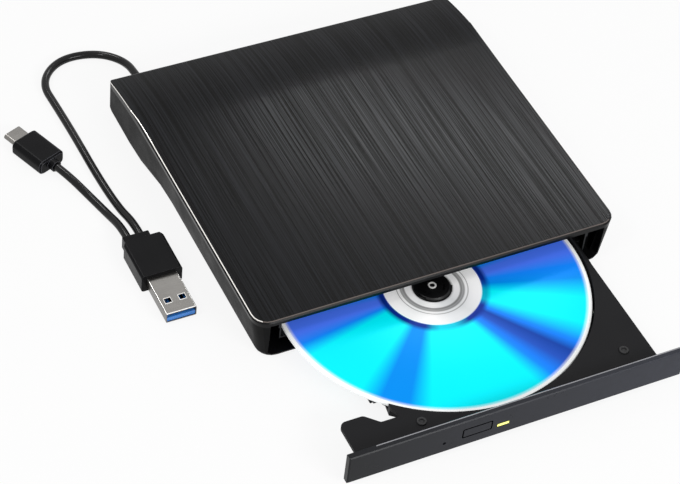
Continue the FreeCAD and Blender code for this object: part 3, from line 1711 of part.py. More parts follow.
def soft_bar(width, height, radius, y0, y1, z):
    """Bar along Y whose long corners are rounded in a few flats."""
    points = []
    for k in range(4):
        middle_x = (width / 2 - radius) * (1 if k in (0, 3) else -1)
        middle_z = (height / 2 - radius) * (1 if k in (0, 1) else -1)
        for step in range(corner_flats + 1):
            turn = math.pi / 2 * (k + step / corner_flats)
            points.append((middle_x + radius * math.cos(turn), z + middle_z + radius * math.sin(turn)))
    return prism_y(points, y0, y1)


def shell_c_bar(inset, y0, y1):
    """Flat bar with rounded sides, drawn in from the outside of the small plug's shell."""
    width = shell_c_width - 2 * inset
    height = shell_c_height - 2 * inset
    return soft_bar(width, height, shell_c_round * height, y0, y1, plug_c_height / 2)


def plug_c_body():
    z = plug_c_height / 2
    body = soft_bar(plug_c_width, plug_c_height, plug_c_corner, 0, plug_c_length, z)
    ends = [e for e in body.Edges if e.BoundBox.YLength < 0.01]
    body = body.makeChamfer(plug_c_end_chamfer, ends)
    neck = faceted_rod(vec(0, -plug_c_neck, z), vec(0, 1, 0), plug_c_neck + 1, plug_c_neck_radius)
    body = join([body, neck])
    body = body.cut(shell_c_bar(0, plug_c_length - shell_c_root, plug_c_length + 1))
    return place_plug_c(body)


def plug_c_shell():
    tip = plug_c_length + shell_c_length
    root = plug_c_length - shell_c_root
    body = shell_c_bar(0, root, tip)
    return place_plug_c(body.cut(shell_c_bar(shell_c_wall, root + shell_c_floor, tip + 1)))


def plug_c_tongue():
    z = plug_c_height / 2
    half = tongue_c_width / 2
    low = tongue_c_gap / 2
    high = low + tongue_c_thickness
    root = plug_c_length - shell_c_root + shell_c_floor
    tip = plug_c_length + shell_c_length - tongue_c_inset
    upper = block(-half, half, root, tip, z + low, z + high)
    lower = block(-half, half, root, tip, z - high, z - low)
    back = block(-half, half, root, plug_c_length - 1.0, z - high, z + high)
    return place_plug_c(join([upper, lower, back]))


def build():
    os.makedirs("parts", exist_ok=True)
    body = case_body()
    save("top_cover", top_cover(body))
    save("bottom_shell", bottom_shell(body))
    save("rubber_feet", rubber_feet())
    save("case_screws", case_screws())
    save("chassis_pan", chassis_pan())
    save("chassis_lid", chassis_lid())
    save("lid_screws", lid_screws())
    save("rail_guide_left", rail_guide(step_in, 1))
    save("rail_guide_right", rail_guide(drive_in, -1))
    save("rail_left", telescopic_rail(step_in, 1))
    save("rail_right", telescopic_rail(drive_in, -1))
    save("drive_board", drive_board())
    save("drive_socket", drive_socket())
    save("flex_cable", flex_cable())
    save("bridge_board", bridge_board())
    save("bridge_parts", bridge_parts())
    save("bridge_connector", bridge_connector())
    save("lead_grommet", lead_grommet())
    save("tray_frame", tray_frame())
    save("bezel", bezel())
    save("bumper_pads", bumper_pads())
    save("eject_button", eject_button())
    save("lamp_lens", lamp_lens())
    save("switch_board", switch_board())
    save("eject_switch", eject_switch())
    save("tray_bottom_cover", tray_bottom_cover())
    save("tray_screws", tray_screws())
    save("disc", disc())
    save("turntable", turntable())
    save("spindle_cap", spindle_cap())
    save("spindle_stator", spindle_stator())
    for k in range(claw_count):
        save("hub_claw_" + str(k + 1), hub_claw(k))
    save("traverse_plate", traverse_plate())
    save("guide_rods", guide_rods())
    save("sled_body", sled_body())
    save("laser_unit", laser_unit())
    save("lens_holder", lens_holder())
    save("objective_lens", objective_lens())
    save("lead_screw", lead_screw())
    save("step_motor", step_motor())
    save("lens_shroud", lens_shroud())
    save("latch_lever", latch_lever())
    save("latch_magnet", latch_magnet())
    save("main_lead", lead_tube(lead_route, "main lead"))
    save("pigtail_lead", lead_tube(pigtail_route, "pigtail lead"))
    save("plug_a_body", plug_a_body())
    save("plug_a_shell", plug_a_shell())
    save("plug_a_tongue", plug_a_tongue())
    save("plug_a_contacts", plug_a_contacts())
    save("plug_c_body", plug_c_body())
    save("plug_c_shell", plug_c_shell())
    save("plug_c_tongue", plug_c_tongue())


build()
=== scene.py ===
import json
import math

import bmesh
import bpy
from bpy.props import FloatProperty, FloatVectorProperty, PointerProperty
from mathutils import Matrix, Vector


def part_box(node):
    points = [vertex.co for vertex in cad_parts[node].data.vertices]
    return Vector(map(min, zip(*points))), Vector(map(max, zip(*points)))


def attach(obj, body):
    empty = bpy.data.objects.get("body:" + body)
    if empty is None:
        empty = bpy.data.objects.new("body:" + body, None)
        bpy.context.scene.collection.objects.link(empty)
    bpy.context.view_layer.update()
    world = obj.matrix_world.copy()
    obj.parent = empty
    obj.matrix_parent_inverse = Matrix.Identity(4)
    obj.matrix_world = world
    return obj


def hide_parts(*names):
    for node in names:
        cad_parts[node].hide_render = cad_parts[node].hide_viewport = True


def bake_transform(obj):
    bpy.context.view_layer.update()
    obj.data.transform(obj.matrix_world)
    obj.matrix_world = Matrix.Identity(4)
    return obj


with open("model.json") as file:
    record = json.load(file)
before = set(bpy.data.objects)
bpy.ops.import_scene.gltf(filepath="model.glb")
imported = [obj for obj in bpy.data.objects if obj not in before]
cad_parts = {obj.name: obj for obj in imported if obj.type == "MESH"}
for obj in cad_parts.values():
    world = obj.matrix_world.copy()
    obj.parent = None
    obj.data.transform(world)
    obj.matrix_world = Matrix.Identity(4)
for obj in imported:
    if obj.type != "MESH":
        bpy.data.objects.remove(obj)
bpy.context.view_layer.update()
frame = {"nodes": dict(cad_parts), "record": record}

bl_info = {
    "name": "Slim external disc drive",
    "version": (1, 0, 0),
    "blender": (4, 5, 0),
    "location": "3D View > Sidebar > Disc Drive",
    "description": (
        "Finishes the pieces of a slim external disc drive with an open tray and a short forked lead"),
    "category": "Object",
}

mm = 0.001

# Camera of the photograph: where it stands, and its right and up directions.
camera_place = Vector((-327.2, -519.2, 632.0)) * mm
camera_right = Vector((0.89992, -0.42779, 0.08448))
camera_up = Vector((0.25806, 0.67867, 0.68761))
sensor_width = 36.0

# Routes of the two leads, as the control points of their smooth lines.
lead_route = [
    (-58.7, 105.65, 5.0), (-58.7, 111.7, 5.0), (-59.1, 125.1, 2.8), (-68.4, 135.0, 1.6),
    (-84.0, 136.0, 1.6), (-95.0, 125.4, 1.6), (-94.1, 109.4, 1.6), (-93.4, 90.8, 1.6),
    (-93.1, 67.4, 1.6), (-91.8, 49.0, 1.6), (-90.4, 37.8, 4.0), (-90.4, 30.5, 4.0),
]
pigtail_route = [
    (-95.5, 30.5, 4.0), (-95.5, 37.2, 4.0), (-96.9, 47.5, 1.6), (-100.0, 59.2, 1.6),
    (-103.97, 70.38, 3.25), (-106.57, 76.88, 3.25),
]

# The two windows in the top of the large plug's shell.
window_width = 2.5 * mm
window_depth = 2.3 * mm
window_spacing = 5.7 * mm
window_row = 6.35 * mm

# The front panel's chamfered rear edge, and how far from its left end the strip of painted highlight starts.
chamfer = 0.3 * mm
strip_inset = 11 * mm
# The film is cut across into this many bands.
film_cuts = 40

# Copies of the frame's pieces: how close corners are joined, and how flat faces are merged.
weld = 0.002 * mm
merge_angle = 0.4
crease_angle = 32.0
soft_angle = 40.0

# How far up a face looks, as the height of its normal: a face of the roof or the bend behind it,
# one beside the roof's outline, a level one, and any that is more up than sideways.
roof_up, outline_up, level_up, mostly_up = 0.93, 0.95, 0.999, 0.9

# Screws: the head's narrow end over its wide one, the recess over the head's radius, a slot's width
# over its length, and how far up the head the shank starts.
head_taper, recess_share, slot_share, shank_start = 0.86, 1.3, 0.2, 0.9

# A worn surface's shades follow the sum of its fine and its broad noise over this range, and the
# broad noise has this grain.
noise_range = (0.6, 1.4)
broad_grain = 12 * mm

floor_gap = 0.05 * mm
disc_sides, stud_sides = 192, 48

disc_low, disc_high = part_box("disc")
disc_centre = (disc_low + disc_high) / 2
disc_radius = (disc_high.x - disc_low.x) / 2
disc_bore = 7.5 * mm


def linear(hex_colour):
    """Turn an sRGB hex value into the linear colour that a shader takes."""
    parts = [int(hex_colour[i:i + 2], 16) / 255 for i in (1, 3, 5)]
    return tuple(c / 12.92 if c <= 0.04045 else ((c + 0.055) / 1.055) ** 2.4 for c in parts) + (1.0,)


def colour_property(name, description, hex_colour):
    """A colour that the sidebar shows, with an sRGB default."""
    return FloatVectorProperty(
        name=name, description=description, subtype="COLOR", size=4, min=0.0, max=1.0,
        default=linear(hex_colour))


def length_property(name, description, millimetres):
    """A length that the sidebar shows, given in millimetres."""
    return FloatProperty(
        name=name, description=description, unit="LENGTH", min=0.0, precision=5,
        default=millimetres * mm)


def power_property(name, description, watts):
    """The power of a lamp that the sidebar shows."""
    return FloatProperty(name=name, description=description, default=watts, min=0.0, unit="POWER")


class StageSettings(bpy.types.PropertyGroup):
    """The floor, the lamps and the lens."""
    floor_size: length_property("Floor size", "Side of the square floor", 6000)
    floor_colour: colour_property("Floor colour", "Colour of the floor", "#f4f4f4")
    floor_shadow: FloatProperty(
        name="Floor shadow", description="How much of the floor's look is lit, so keeps the shadow",
        default=0.12, min=0.0, max=1.0, subtype="FACTOR")
    sky: FloatProperty(name="Sky", description="Strength of the even light", default=0.62, min=0.0)
    key: power_property("Key lamp", "Lamp on the left", 2.0)
    fill: power_property("Front lamp", "Lamp in front, which lights the disc up to the mouth", 6.5)
    band: power_property("Band lamp", "Long lamp behind, whose band of light crosses the cover", 0.85)
    lead: power_property(
        "Lead lamp", "Narrow lamp behind the leads, which draws a streak along them", 1.8)
    lens: FloatProperty(
        name="Lens", description="Focal length in millimetres", default=121.42, min=1.0)


class CoverSettings(bpy.types.PropertyGroup):
    """The brushed top cover."""
    dark: colour_property("Dark streaks", "Darkest brush streaks", "#030303")
    light: colour_property("Light streaks", "Lightest brush streaks", "#26272a")
    side: colour_property("Side", "Plain lacquer on the sides of the cover", "#0a0a0b")
    edge: colour_property("Cut edge", "Bare line along the sides of the roof", "#f2efea")
    # In front, the cut line is a darker copy of the bare one: painted shade.
    front_edge: colour_property("Front edge", "Darker copy of the cut line along the front of the roof, painted shade", "#6f6763")
    edge_width: length_property("Edge width", "Width of the line round the roof", 0.4)
    streak_width: length_property("Streak width", "Width of the finest streaks", 0.4)
    streak_length: length_property("Streak length", "Length of the finest streaks", 55)


class CaseSettings(bpy.types.PropertyGroup):
    """The moulded case and everything of its plastic."""
    case: colour_property("Case", "Moulded case", "#0b0b0c")
    bezel: colour_property("Front panel", "Front panel of the tray, at its left end", "#17181b")
    # The front panel's colour lightens towards its right end: painted light.
    bezel_lit_right: colour_property("Front panel, right", "Front panel at its right end", "#2f3139")
    tray: colour_property("Tray", "Tray and its rails", "#161618")
    # A light strip along the rear edge of the panel's top is a painted highlight.
    rubbed: colour_property("Edge highlight", "Rear edge of the front panel's top", "#9a9a9e")
    highlight_width: length_property("Highlight width", "Width of that edge", 0.4)
    edge_radius: length_property("Edge radius", "Softening of moulded edges", 0.25)


class DiscSettings(bpy.types.PropertyGroup):
    """The disc that lies on the spindle."""
    radius: length_property("Radius", "Outer radius of the disc", disc_radius / mm)
    bore: length_property("Bore", "Radius of the hole", disc_bore / mm)
    thickness: length_property("Thickness", "Thickness", (disc_high.z - disc_low.z) / mm)
    rounding: length_property("Rounding", "Rounding of the rim", 0.25)
    # The wedge colours are painted reflection: the colours that the mirror splits a lamp's light into.
    bright: colour_property("Bright wedge", "Brightest wedge of colour", "#00e6f2")
    azure: colour_property("Azure wedge", "Softer blue wedge between bright ones", "#0088e6")
    middle: colour_property("Middle wedge", "Wedge between bright and deep", "#1484fa")
    royal: colour_property("Royal wedge", "Wedge next to the deepest one", "#2450b4")
    deep: colour_property("Deep wedge", "Deepest wedge of colour", "#163f9a")
    # The violet wedge is lightened to make up for the cover's shade on that line: painted light.
    violet: colour_property("Violet wedge", "Wedge on the line across the drive", "#4d7bff")
    ring: colour_property("Inner ring", "Dark ring where the mirror starts", "#0a2a86")


class LeadSettings(bpy.types.PropertyGroup):
    """The leads and their plugs."""
    diameter: length_property("Diameter", "Diameter of the lead", 3.2)
    sheath: colour_property("Sheath", "Soft sheath of the lead", "#040405")
    plug: colour_property("Plug", "Moulded grip of a plug", "#0c0c0e")
    # The grips' edges are drawn lighter than the grip: painted highlight.
    plug_edge: colour_property("Plug edge", "Rounded edges of a plug's grip", "#55565c")
    shell: colour_property("Shell", "Plated shell of a plug", "#7d7b78")
    tongue: colour_property("Tongue", "Tongue in the large plug", "#3b7fd0")


class InsideSettings(bpy.types.PropertyGroup):
    """What the case and the tray hold."""
    board: colour_property("Board", "Circuit boards", "#14402a")
    steel: colour_property("Sheet steel", "Blackened zinc-plated sheet", "#2b2c2e")
    copper: colour_property("Copper", "Windings", "#b5622f")


settings_groups = {
    "drive_stage": StageSettings,
    "drive_cover": CoverSettings,
    "drive_case": CaseSettings,
    "drive_disc": DiscSettings,
    "drive_leads": LeadSettings,
    "drive_inside": InsideSettings,
}


def add_node(tree, kind, inputs=None, **settings):
    """Add a node to a tree, set its properties and its ramp's stops, and set or link its inputs."""
    node = tree.nodes.new(kind)
    for name, value in settings.items():
        if name != "stops":
            setattr(node, name, value)
            continue
        ramp = node.color_ramp.elements
        while len(ramp) < len(value):
            ramp.new(1.0)
        for element, (position, colour) in zip(ramp, value):
            element.position = position
            element.color = colour
    for socket, value in (inputs or {}).items():
        if isinstance(value, bpy.types.NodeSocket):
            tree.links.new(value, node.inputs[socket])
        else:
            node.inputs[socket].default_value = value
    return node


# Numbers of a colour Mix node's sockets, whose names repeat.
mix_factor, mix_first, mix_second, mix_result = 0, 6, 7, 2


def worked_out(tree, operation, *numbers):
    """A number worked out in a tree from others."""
    return add_node(tree, "ShaderNodeMath", dict(enumerate(numbers)), operation=operation).outputs[0]


def mapped(tree, value, start=(0.0, 1.0), end=(0.0, 1.0)):
    """A number taken from one range to another and held there."""
    return add_node(tree, "ShaderNodeMapRange", {
        "Value": value, "From Min": start[0], "From Max": start[1],
        "To Min": end[0], "To Max": end[1]}).outputs["Result"]


def blended(tree, share, first, second, kind="MIX"):
    """Two colours mixed. The share is how much of the second one is seen."""
    return add_node(tree, "ShaderNodeMix", {
        mix_factor: share, mix_first: first, mix_second: second},
        data_type="RGBA", blend_type=kind).outputs[mix_result]


def link_looks(tree, shader, looks):
    """Link what a tree works out to its shader's sockets."""
    for socket, look in looks.items():
        tree.links.new(look, shader.inputs[socket])


def empty_tree(owner):
    """The node tree of a material or a world, emptied."""
    owner.use_nodes = True
    owner.node_tree.nodes.clear()
    return owner.node_tree


def add_object(name, data):
    """A new object of some data, in the scene."""
    piece = bpy.data.objects.new(name, data)
    bpy.context.scene.collection.objects.link(piece)
    return piece


def start_material(name, sockets):
    """A material with one Principled shader, its constants set on the shader's own sockets."""
    material = bpy.data.materials.new(name)
    tree = empty_tree(material)
    shader = add_node(tree, "ShaderNodeBsdfPrincipled", sockets)
    add_node(tree, "ShaderNodeOutputMaterial", {"Surface": shader.outputs["BSDF"]})
    return material, tree, shader


def noise(tree, grain, detail=3.0):
    """Noise on the object's own coordinates. The grain is its size along X, Y and Z in metres."""
    place = add_node(tree, "ShaderNodeTexCoord")
    scaled = add_node(tree, "ShaderNodeMapping", {
        "Vector": place.outputs["Object"], "Scale": tuple(1 / size for size in grain)})
    return add_node(tree, "ShaderNodeTexNoise", {
        "Vector": scaled.outputs["Vector"], "Scale": 1.0, "Detail": detail,
        "Roughness": 0.55}).outputs["Fac"]


def painted_light_across(tree, colour, lit_colour):
    """A colour that turns into another one from the left of the front panel to its right: painted light."""
    place = add_node(tree, "ShaderNodeTexCoord")
    parts = add_node(tree, "ShaderNodeSeparateXYZ", {0: place.outputs["Object"]})
    share = mapped(tree, parts.outputs["X"], [corner.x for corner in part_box("bezel")])
    return blended(tree, share, tuple(colour), tuple(lit_colour))


def worn_surface(name, colour, roughness, grain, bump, spread=0.25, sockets=None, lit_colour=None):
    """A surface whose colour, roughness and height vary with its grain.

    The spread is how far the colour and the roughness leave their middle values. With a lit colour,
    the surface turns from its own colour at its left end to that one at its right end: painted light.
    """
    material, tree, shader = start_material(name, sockets)
    fine = noise(tree, grain)
    both = worked_out(tree, "ADD", fine, noise(tree, even_grain(broad_grain), 2.0))
    shades = mapped(tree, both, noise_range, (1 - spread, 1 + spread))
    shaded = add_node(tree, "ShaderNodeVectorMath", {
        0: tuple(colour)[:3], "Scale": shades}, operation="SCALE")
    if lit_colour:
        tree.links.new(painted_light_across(tree, colour, lit_colour), shaded.inputs[0])
    rough = mapped(tree, both, noise_range, (roughness * (1 - spread), roughness * (1 + spread)))
    relief = add_node(tree, "ShaderNodeBump", {"Height": fine, "Strength": bump, "Distance": 0.05 * mm})
    link_looks(tree, shader, {
        "Base Color": shaded.outputs[0], "Roughness": rough, "Normal": relief.outputs["Normal"]})
    return material


def even_grain(size):
    """A grain of one size along X, Y and Z."""
    return (size, size, size)


def brushed_lacquer(cover):
    """Black lacquer over brushed aluminium: fine streaks from front to back, and sparse darker lines."""
    material, tree, shader = start_material("brushed lacquered aluminium", {
        "Specular IOR Level": 0.08})
    # The middle and the wide streaks are multiples of the fine ones.
    width, length = cover.streak_width, cover.streak_length
    fine = noise(tree, (width, length, 40 * width), 1.0)
    middle = noise(tree, (2.2 * width, 6 * length, 80 * width), 3.0)
    wide = noise(tree, (22 * width, 8 * length, 200 * width), 1.0)
    streaks = mapped(tree, worked_out(tree, "MULTIPLY_ADD", wide, 0.2, fine), (0.42, 0.82))
    # The cutter's deeper lines: dark where the long narrow noise falls low.
    lines = mapped(tree, middle, (0.36, 0.47), (0.1, 1.0))
    level = worked_out(tree, "MULTIPLY", streaks, lines)
    relief = add_node(tree, "ShaderNodeBump", {"Height": level, "Strength": 0.4, "Distance": 0.02 * mm})
    link_looks(tree, shader, {
        "Base Color": blended(tree, level, tuple(cover.dark), tuple(cover.light)),
        "Roughness": mapped(tree, level, end=(0.27, 0.13)), "Normal": relief.outputs["Normal"]})
    return material


def cut_edge(name, colour):
    """Aluminium where the cutter took the lacquer off the roof's edge: bright, finely lined."""
    return worn_surface(
        name, colour, 0.24, (6 * mm, 0.25 * mm, 0.25 * mm), 0.1, 0.1, {"Metallic": 1.0})


def mirror_colours(disc):
    """Polycarbonate over a mirror layer: wedges of colour about the hub that are painted reflection, a clear
    inside and a pale rim.
    """
    material, tree, shader = start_material("polycarbonate mirror disc", {
        "Specular IOR Level": 0.06, "Emission Strength": 0.2})
    place = add_node(tree, "ShaderNodeTexCoord")
    centred = add_node(tree, "ShaderNodeVectorMath", {
        0: place.outputs["Object"], 1: tuple(disc_centre)}, operation="SUBTRACT").outputs[0]
    level = add_node(tree, "ShaderNodeVectorMath", {
        0: centred, 1: (1.0, 1.0, 0.0)}, operation="MULTIPLY").outputs[0]
    distance = add_node(tree, "ShaderNodeVectorMath", {0: level}, operation="LENGTH").outputs["Value"]
    across = add_node(tree, "ShaderNodeSeparateXYZ", {0: level}).outputs
    half_turns = worked_out(
        tree, "DIVIDE", worked_out(tree, "ARCTAN2", across["Y"], across["X"]), math.pi)
    turn = worked_out(tree, "WRAP", half_turns, 1.0, 0.0)
    reach = worked_out(tree, "DIVIDE", distance, disc.radius)

    def ramp(source, stops, name=""):
        """Colours along a radius or an angle."""
        return add_node(tree, "ShaderNodeValToRGB", {"Fac": source}, label=name, stops=stops).outputs["Color"]

    def shades(name, source, whole, stops):
        """Shades along a radius or an angle. Each stop is a place on the whole and a shade."""
        return ramp(source, [(spot / whole, (shade, shade, shade, 1.0)) for spot, shade in stops], name)

    # Each wedge is an angle in degrees, anticlockwise of the disc's left, and its colour. The wedges are
    # painted reflection; the violet ones across the drive are lightened against the cover's shade: painted
    # light.
    half_turn = 180
    wedges = [
        (0, disc.violet), (3, disc.violet), (8, disc.middle), (14, disc.bright), (37, disc.bright),
        (45, disc.azure), (55, disc.azure), (63, disc.bright), (105, disc.bright), (112, disc.middle),
        (120, disc.royal), (126, disc.deep), (132, disc.middle), (141, disc.bright), (154, disc.bright),
        (164, disc.azure), (171, disc.middle), (177, disc.violet), (180, disc.violet),
    ]
    mirror = ramp(turn, [(degrees / half_turn, tuple(colour)) for degrees, colour in wedges])
    # Shades by distance are in millimetres from the hub.
    reach_mm = disc.radius / mm
    mirror_start = shades("mirror starts", reach, reach_mm, [(18.5, 0.0), (18.9, 1.0)])
    ring_depth = shades("depth of the dark ring", turn, half_turn, [
        (0, 1.0), (56, 1.0), (72, 0.3), (88, 0.4), (106, 1.0), (132, 1.0), (142, 0.5), (158, 0.5),
        (170, 1.0)])
    dark_ring = shades("dark ring", reach, reach_mm, [(18.6, 0.0), (18.9, 1.0), (20.4, 1.0), (22.4, 0.0)])
    rim = shades("rim", reach, reach_mm, [(57.4, 0.0), (58.5, 0.5), (58.8, 1.0)])
    clear_rings = shades("clear inside", reach, reach_mm, [
        (7.5, 0.45), (8.3, 0.92), (10.3, 0.90), (10.7, 0.26), (11.3, 0.30), (11.5, 0.44), (12.1, 0.28),
        (12.5, 0.92), (13.2, 0.95), (13.5, 0.20), (13.8, 0.94), (16.0, 1.0), (18.2, 1.0)])
    # The clear inside is lighter and darker by angle: painted shade.
    cone = ramp(turn, [(spot, linear(colour)) for spot, colour in (
        (0.0, "#fafafa"), (0.2, "#eef0f0"), (0.35, "#ffffff"), (0.5, "#e4e6e8"), (0.65, "#d4d6d8"),
        (0.8, "#e8e8ea"), (1.0, "#ffffff"))])
    clear = blended(tree, 1.0, clear_rings, cone, "MULTIPLY")
    ringed = blended(tree, worked_out(tree, "MULTIPLY", ring_depth, dark_ring), mirror, tuple(disc.ring))
    inside = blended(tree, mirror_start, clear, ringed)
    whole = blended(tree, rim, inside, linear("#fbfdfd"))
    scatter = noise(tree, even_grain(2 * mm), 2.0)
    # The disc glows faintly in its own colours: painted light for the lamps that the cover keeps from it.
    link_looks(tree, shader, {
        "Base Color": whole, "Emission Color": whole,
        "Metallic": mapped(tree, mirror_start, end=(0.0, 0.12)),
        "Roughness": mapped(tree, scatter, end=(0.26, 0.34))})
    return material


materials = {}


def gloss(level):
    """How much a plastic reflects, as a shader's socket."""
    return {"Specular IOR Level": level}


def mix_materials(settings):
    """Make the finish of every material slot, each from the real material's common look."""
    case, leads, inside = settings.drive_case, settings.drive_leads, settings.drive_inside
    fine = even_grain(0.35 * mm)
    soft = even_grain(0.8 * mm)
    rolled = (8 * mm, 0.3 * mm, 0.3 * mm)
    metal = {"Metallic": 1.0}
    # Each is a name, a colour, a roughness, a grain, a bump's strength, a spread and other sockets.
    looks = {
        # ABS moulded in a spark-eroded tool: a fine dull grain on black.
        "case_plastic": ("spark-textured ABS case", case.case, 0.45, fine, 0.4, 0.25, gloss(0.05)),
        # The front panel is ABS from a polished tool: smooth, with broad reflections.
        # Its colour lightens from left to right: painted light.
        "bezel_plastic": ("satin ABS front panel", case.bezel, 0.3, even_grain(3 * mm), 0.05, 0.1,
                          gloss(0.12), case.bezel_lit_right),
        # The tray is a dull glass-filled plastic.
        "tray_plastic": ("glass-filled PPE tray", case.tray, 0.5, fine, 0.4, 0.2, gloss(0.1)),
        "guide_plastic": ("black acetal rail guide", linear("#0f0f10"), 0.4, soft, 0.1, 0.08, gloss(0.15)),
        "hub_plastic": ("black acetal hub", linear("#060607"), 0.4, soft, 0.3, 0.3, gloss(0.25)),
        "chip_plastic": ("epoxy chip housing", linear("#19191b"), 0.55, fine, 0.3),
        "connector_plastic": ("nylon connector housing", linear("#e2dfd6"), 0.45, soft, 0.1, 0.08),
        # Silicone rubber is matt and takes dust.
        "foot_rubber": ("silicone rubber", linear("#141416"), 0.7, fine, 0.4, 0.3),
        # The leads are soft PVC: black and glossy, with faint waves from the extruder.
        "lead_rubber": ("extruded PVC sheath", leads.sheath, 0.3, even_grain(6 * mm), 0.02, 0.2, {
            "Specular IOR Level": 0.03, "Coat Weight": 0.45, "Coat Roughness": 0.17}),
        "plug_plastic": ("moulded PVC grip", leads.plug, 0.34, soft, 0.12, 0.2, gloss(0.08)),
        # Nickel plate keeps the fine lines of the rolled sheet below it.
        "bright_steel": ("nickel-plated steel", leads.shell, 0.3, rolled, 0.12, 0.08, metal),
        # The spindle's cap is turned and left satin, so it takes light from all sides.
        "turned_cap": ("satin turned cap", linear("#f4f4f2"), 0.45, soft, 0.05, 0.05, {"Metallic": 0.2}),
        # Pressed and cut edges, and the edges of grips and of the front panel, are drawn bright: painted
        # highlights.
        "painted_highlight_steel": ("rubbed nickel edge", linear("#f0efec"), 0.3, rolled, 0.05, 0.05, {
            "Metallic": 0.8}),
        "painted_highlight_grip": ("rubbed PVC edge", leads.plug_edge, 0.35, soft, 0.05, 0.1, gloss(0.15)),
        "painted_highlight_plastic": ("rubbed ABS edge", case.rubbed, 0.4, soft, 0.05, 0.1, gloss(0.12)),
        # The lamp sits in a dark olive rim, which is painted shade at its ends.
        "olive_shade_rim": ("tinted acrylic rim", linear("#2c2b12"), 0.3, soft, 0.0, 0.1, gloss(0.1)),
        # The joint round the button is a fine groove; this black rim in it is painted shade.
        "groove": ("shadowed groove", linear("#020202"), 0.8, soft, 0.0, 0.1, gloss(0.0)),
        "zinc_steel": (
            "blackened zinc-plated steel", inside.steel, 0.38, even_grain(1.6 * mm), 0.25, 0.2, metal),
        "black_steel": ("black oxide screw steel", linear("#242424"), 0.4, fine, 0.2, 0.2, {
            "Metallic": 0.9}),
        "sled_metal": ("cast zinc sled", linear("#8d9092"), 0.45, fine, 0.4, 0.15, metal),
        "gold_contact": ("gold-plated contact", linear("#e0b352"), 0.25, rolled, 0.1, 0.1, metal),
        "motor_copper": ("enamelled copper winding", inside.copper, 0.3, even_grain(0.2 * mm), 0.6, 0.25, {
            "Metallic": 0.8}),
        # The tongue is a blue PBT that a little light passes into.
        "blue_plastic": ("blue PBT tongue", leads.tongue, 0.35, soft, 0.1, 0.12, {
            "Subsurface Weight": 0.1}),
        "circuit_board": (
            "solder-masked fibreglass", inside.board, 0.3, (1.2 * mm, 0.6 * mm, 1 * mm), 0.3, 0.3),
        "flex_film": ("polyimide film", linear("#c98a2e"), 0.28, (0.9 * mm, 30 * mm, 0.9 * mm), 0.3, 0.25),
        "lamp_clear": ("clear acrylic lamp guide", linear("#ffff8c"), 0.2, soft, 0.05, 0.05, {
            "Emission Color": linear("#ffff70"), "Emission Strength": 0.6}),
        "lens_glass": ("coated lens glass", linear("#7d8fc9"), 0.05, soft, 0.0, 0.05, {
            "Transmission Weight": 0.6, "IOR": 1.5}),
    }
    for slot, look in looks.items():
        materials[slot] = worn_surface(*look)


def joined_copy(name, node):
    """A copy of a frame node with its triangles joined into whole faces and smooth bends."""
    mesh = frame["nodes"][node].data.copy()
    mesh.name = name
    shell = bmesh.new()
    shell.from_mesh(mesh)
    bmesh.ops.remove_doubles(shell, verts=shell.verts, dist=weld)
    bmesh.ops.dissolve_limit(
        shell, angle_limit=math.radians(merge_angle), verts=shell.verts, edges=shell.edges)
    shell.to_mesh(mesh)
    shell.free()
    mesh.shade_smooth()
    mesh.set_sharp_from_angle(angle=math.radians(crease_angle))
    mesh.materials.clear()
    return add_object(name, mesh)


def soften(piece, radius, edge_finish=None):
    """Round the sharp edges of a piece with a small radius, in their own finish where one is named."""
    bevel = piece.modifiers.new("Soft edges", "BEVEL")
    bevel.width = radius
    bevel.segments = 2
    bevel.limit_method = "ANGLE"
    bevel.angle_limit = math.radians(soft_angle)
    bevel.use_clamp_overlap = True
    if edge_finish:
        piece.data.materials.append(materials[edge_finish])
        bevel.material = len(piece.data.materials) - 1
    even_shading(piece)


def even_shading(piece):
    """Let the large faces of a piece set its normals, so that they look flat up to their soft edges."""
    weighted = piece.modifiers.new("Even shading", "WEIGHTED_NORMAL")
    weighted.weight = 60
    weighted.keep_sharp = True


def mark_faces(mesh, planes, wanted):
    """Cut a mesh along planes, each a point and a direction, and give the wanted faces its second finish."""
    shell = bmesh.new()
    shell.from_mesh(mesh)
    for point, along in planes:
        bmesh.ops.bisect_plane(
            shell, geom=shell.verts[:] + shell.edges[:] + shell.faces[:],
            plane_co=point, plane_no=along)
    for face in shell.faces:
        if wanted(face.normal, face.calc_center_median()):
            face.material_index = 1
    shell.to_mesh(mesh)
    shell.free()


def body_of(node):
    """The body that carries a frame node."""
    bodies = frame["record"]["behaviour"]["bodies"]
    return next(body for body, nodes in bodies.items() if node in nodes)


def slot_of(node):
    """The record's material slot of a frame node."""
    return next(
        entry["material_slot"] for entry in frame["record"]["subparts"] if entry["node"] == node)


def take_over(piece, node):
    """Let a piece ride on the body of the frame node that it stands for, and hide that node."""
    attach(piece, body_of(node))
    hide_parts(node)


def refined(node, radius, finish=None, edge_finish=None, mark=None):
    """A frame node's own shape, with joined faces, softened edges and a finish, its slot's by default.

    Where mark is given, it first cuts the faces that are to take the edges' finish.
    """
    piece = joined_copy(f"finished_{node}", node)
    piece.data.materials.append(materials[finish or slot_of(node)])
    if radius > 0:
        soften(piece, radius, edge_finish)
    if mark:
        mark(piece.data)
    take_over(piece, node)
    return piece


class DRIVE_OT_stage(bpy.types.Operator):
    """Lay the floor, hang the lamps and set up the camera"""
    bl_idname = "drive.stage"
    bl_label = "Stage"

    def execute(self, context):
        stage = context.scene.drive_stage
        build_floor(stage)
        build_lights(context.scene, stage)
        build_camera(context.scene, stage)
        context.scene.view_settings.view_transform = "Standard"
        return {"FINISHED"}


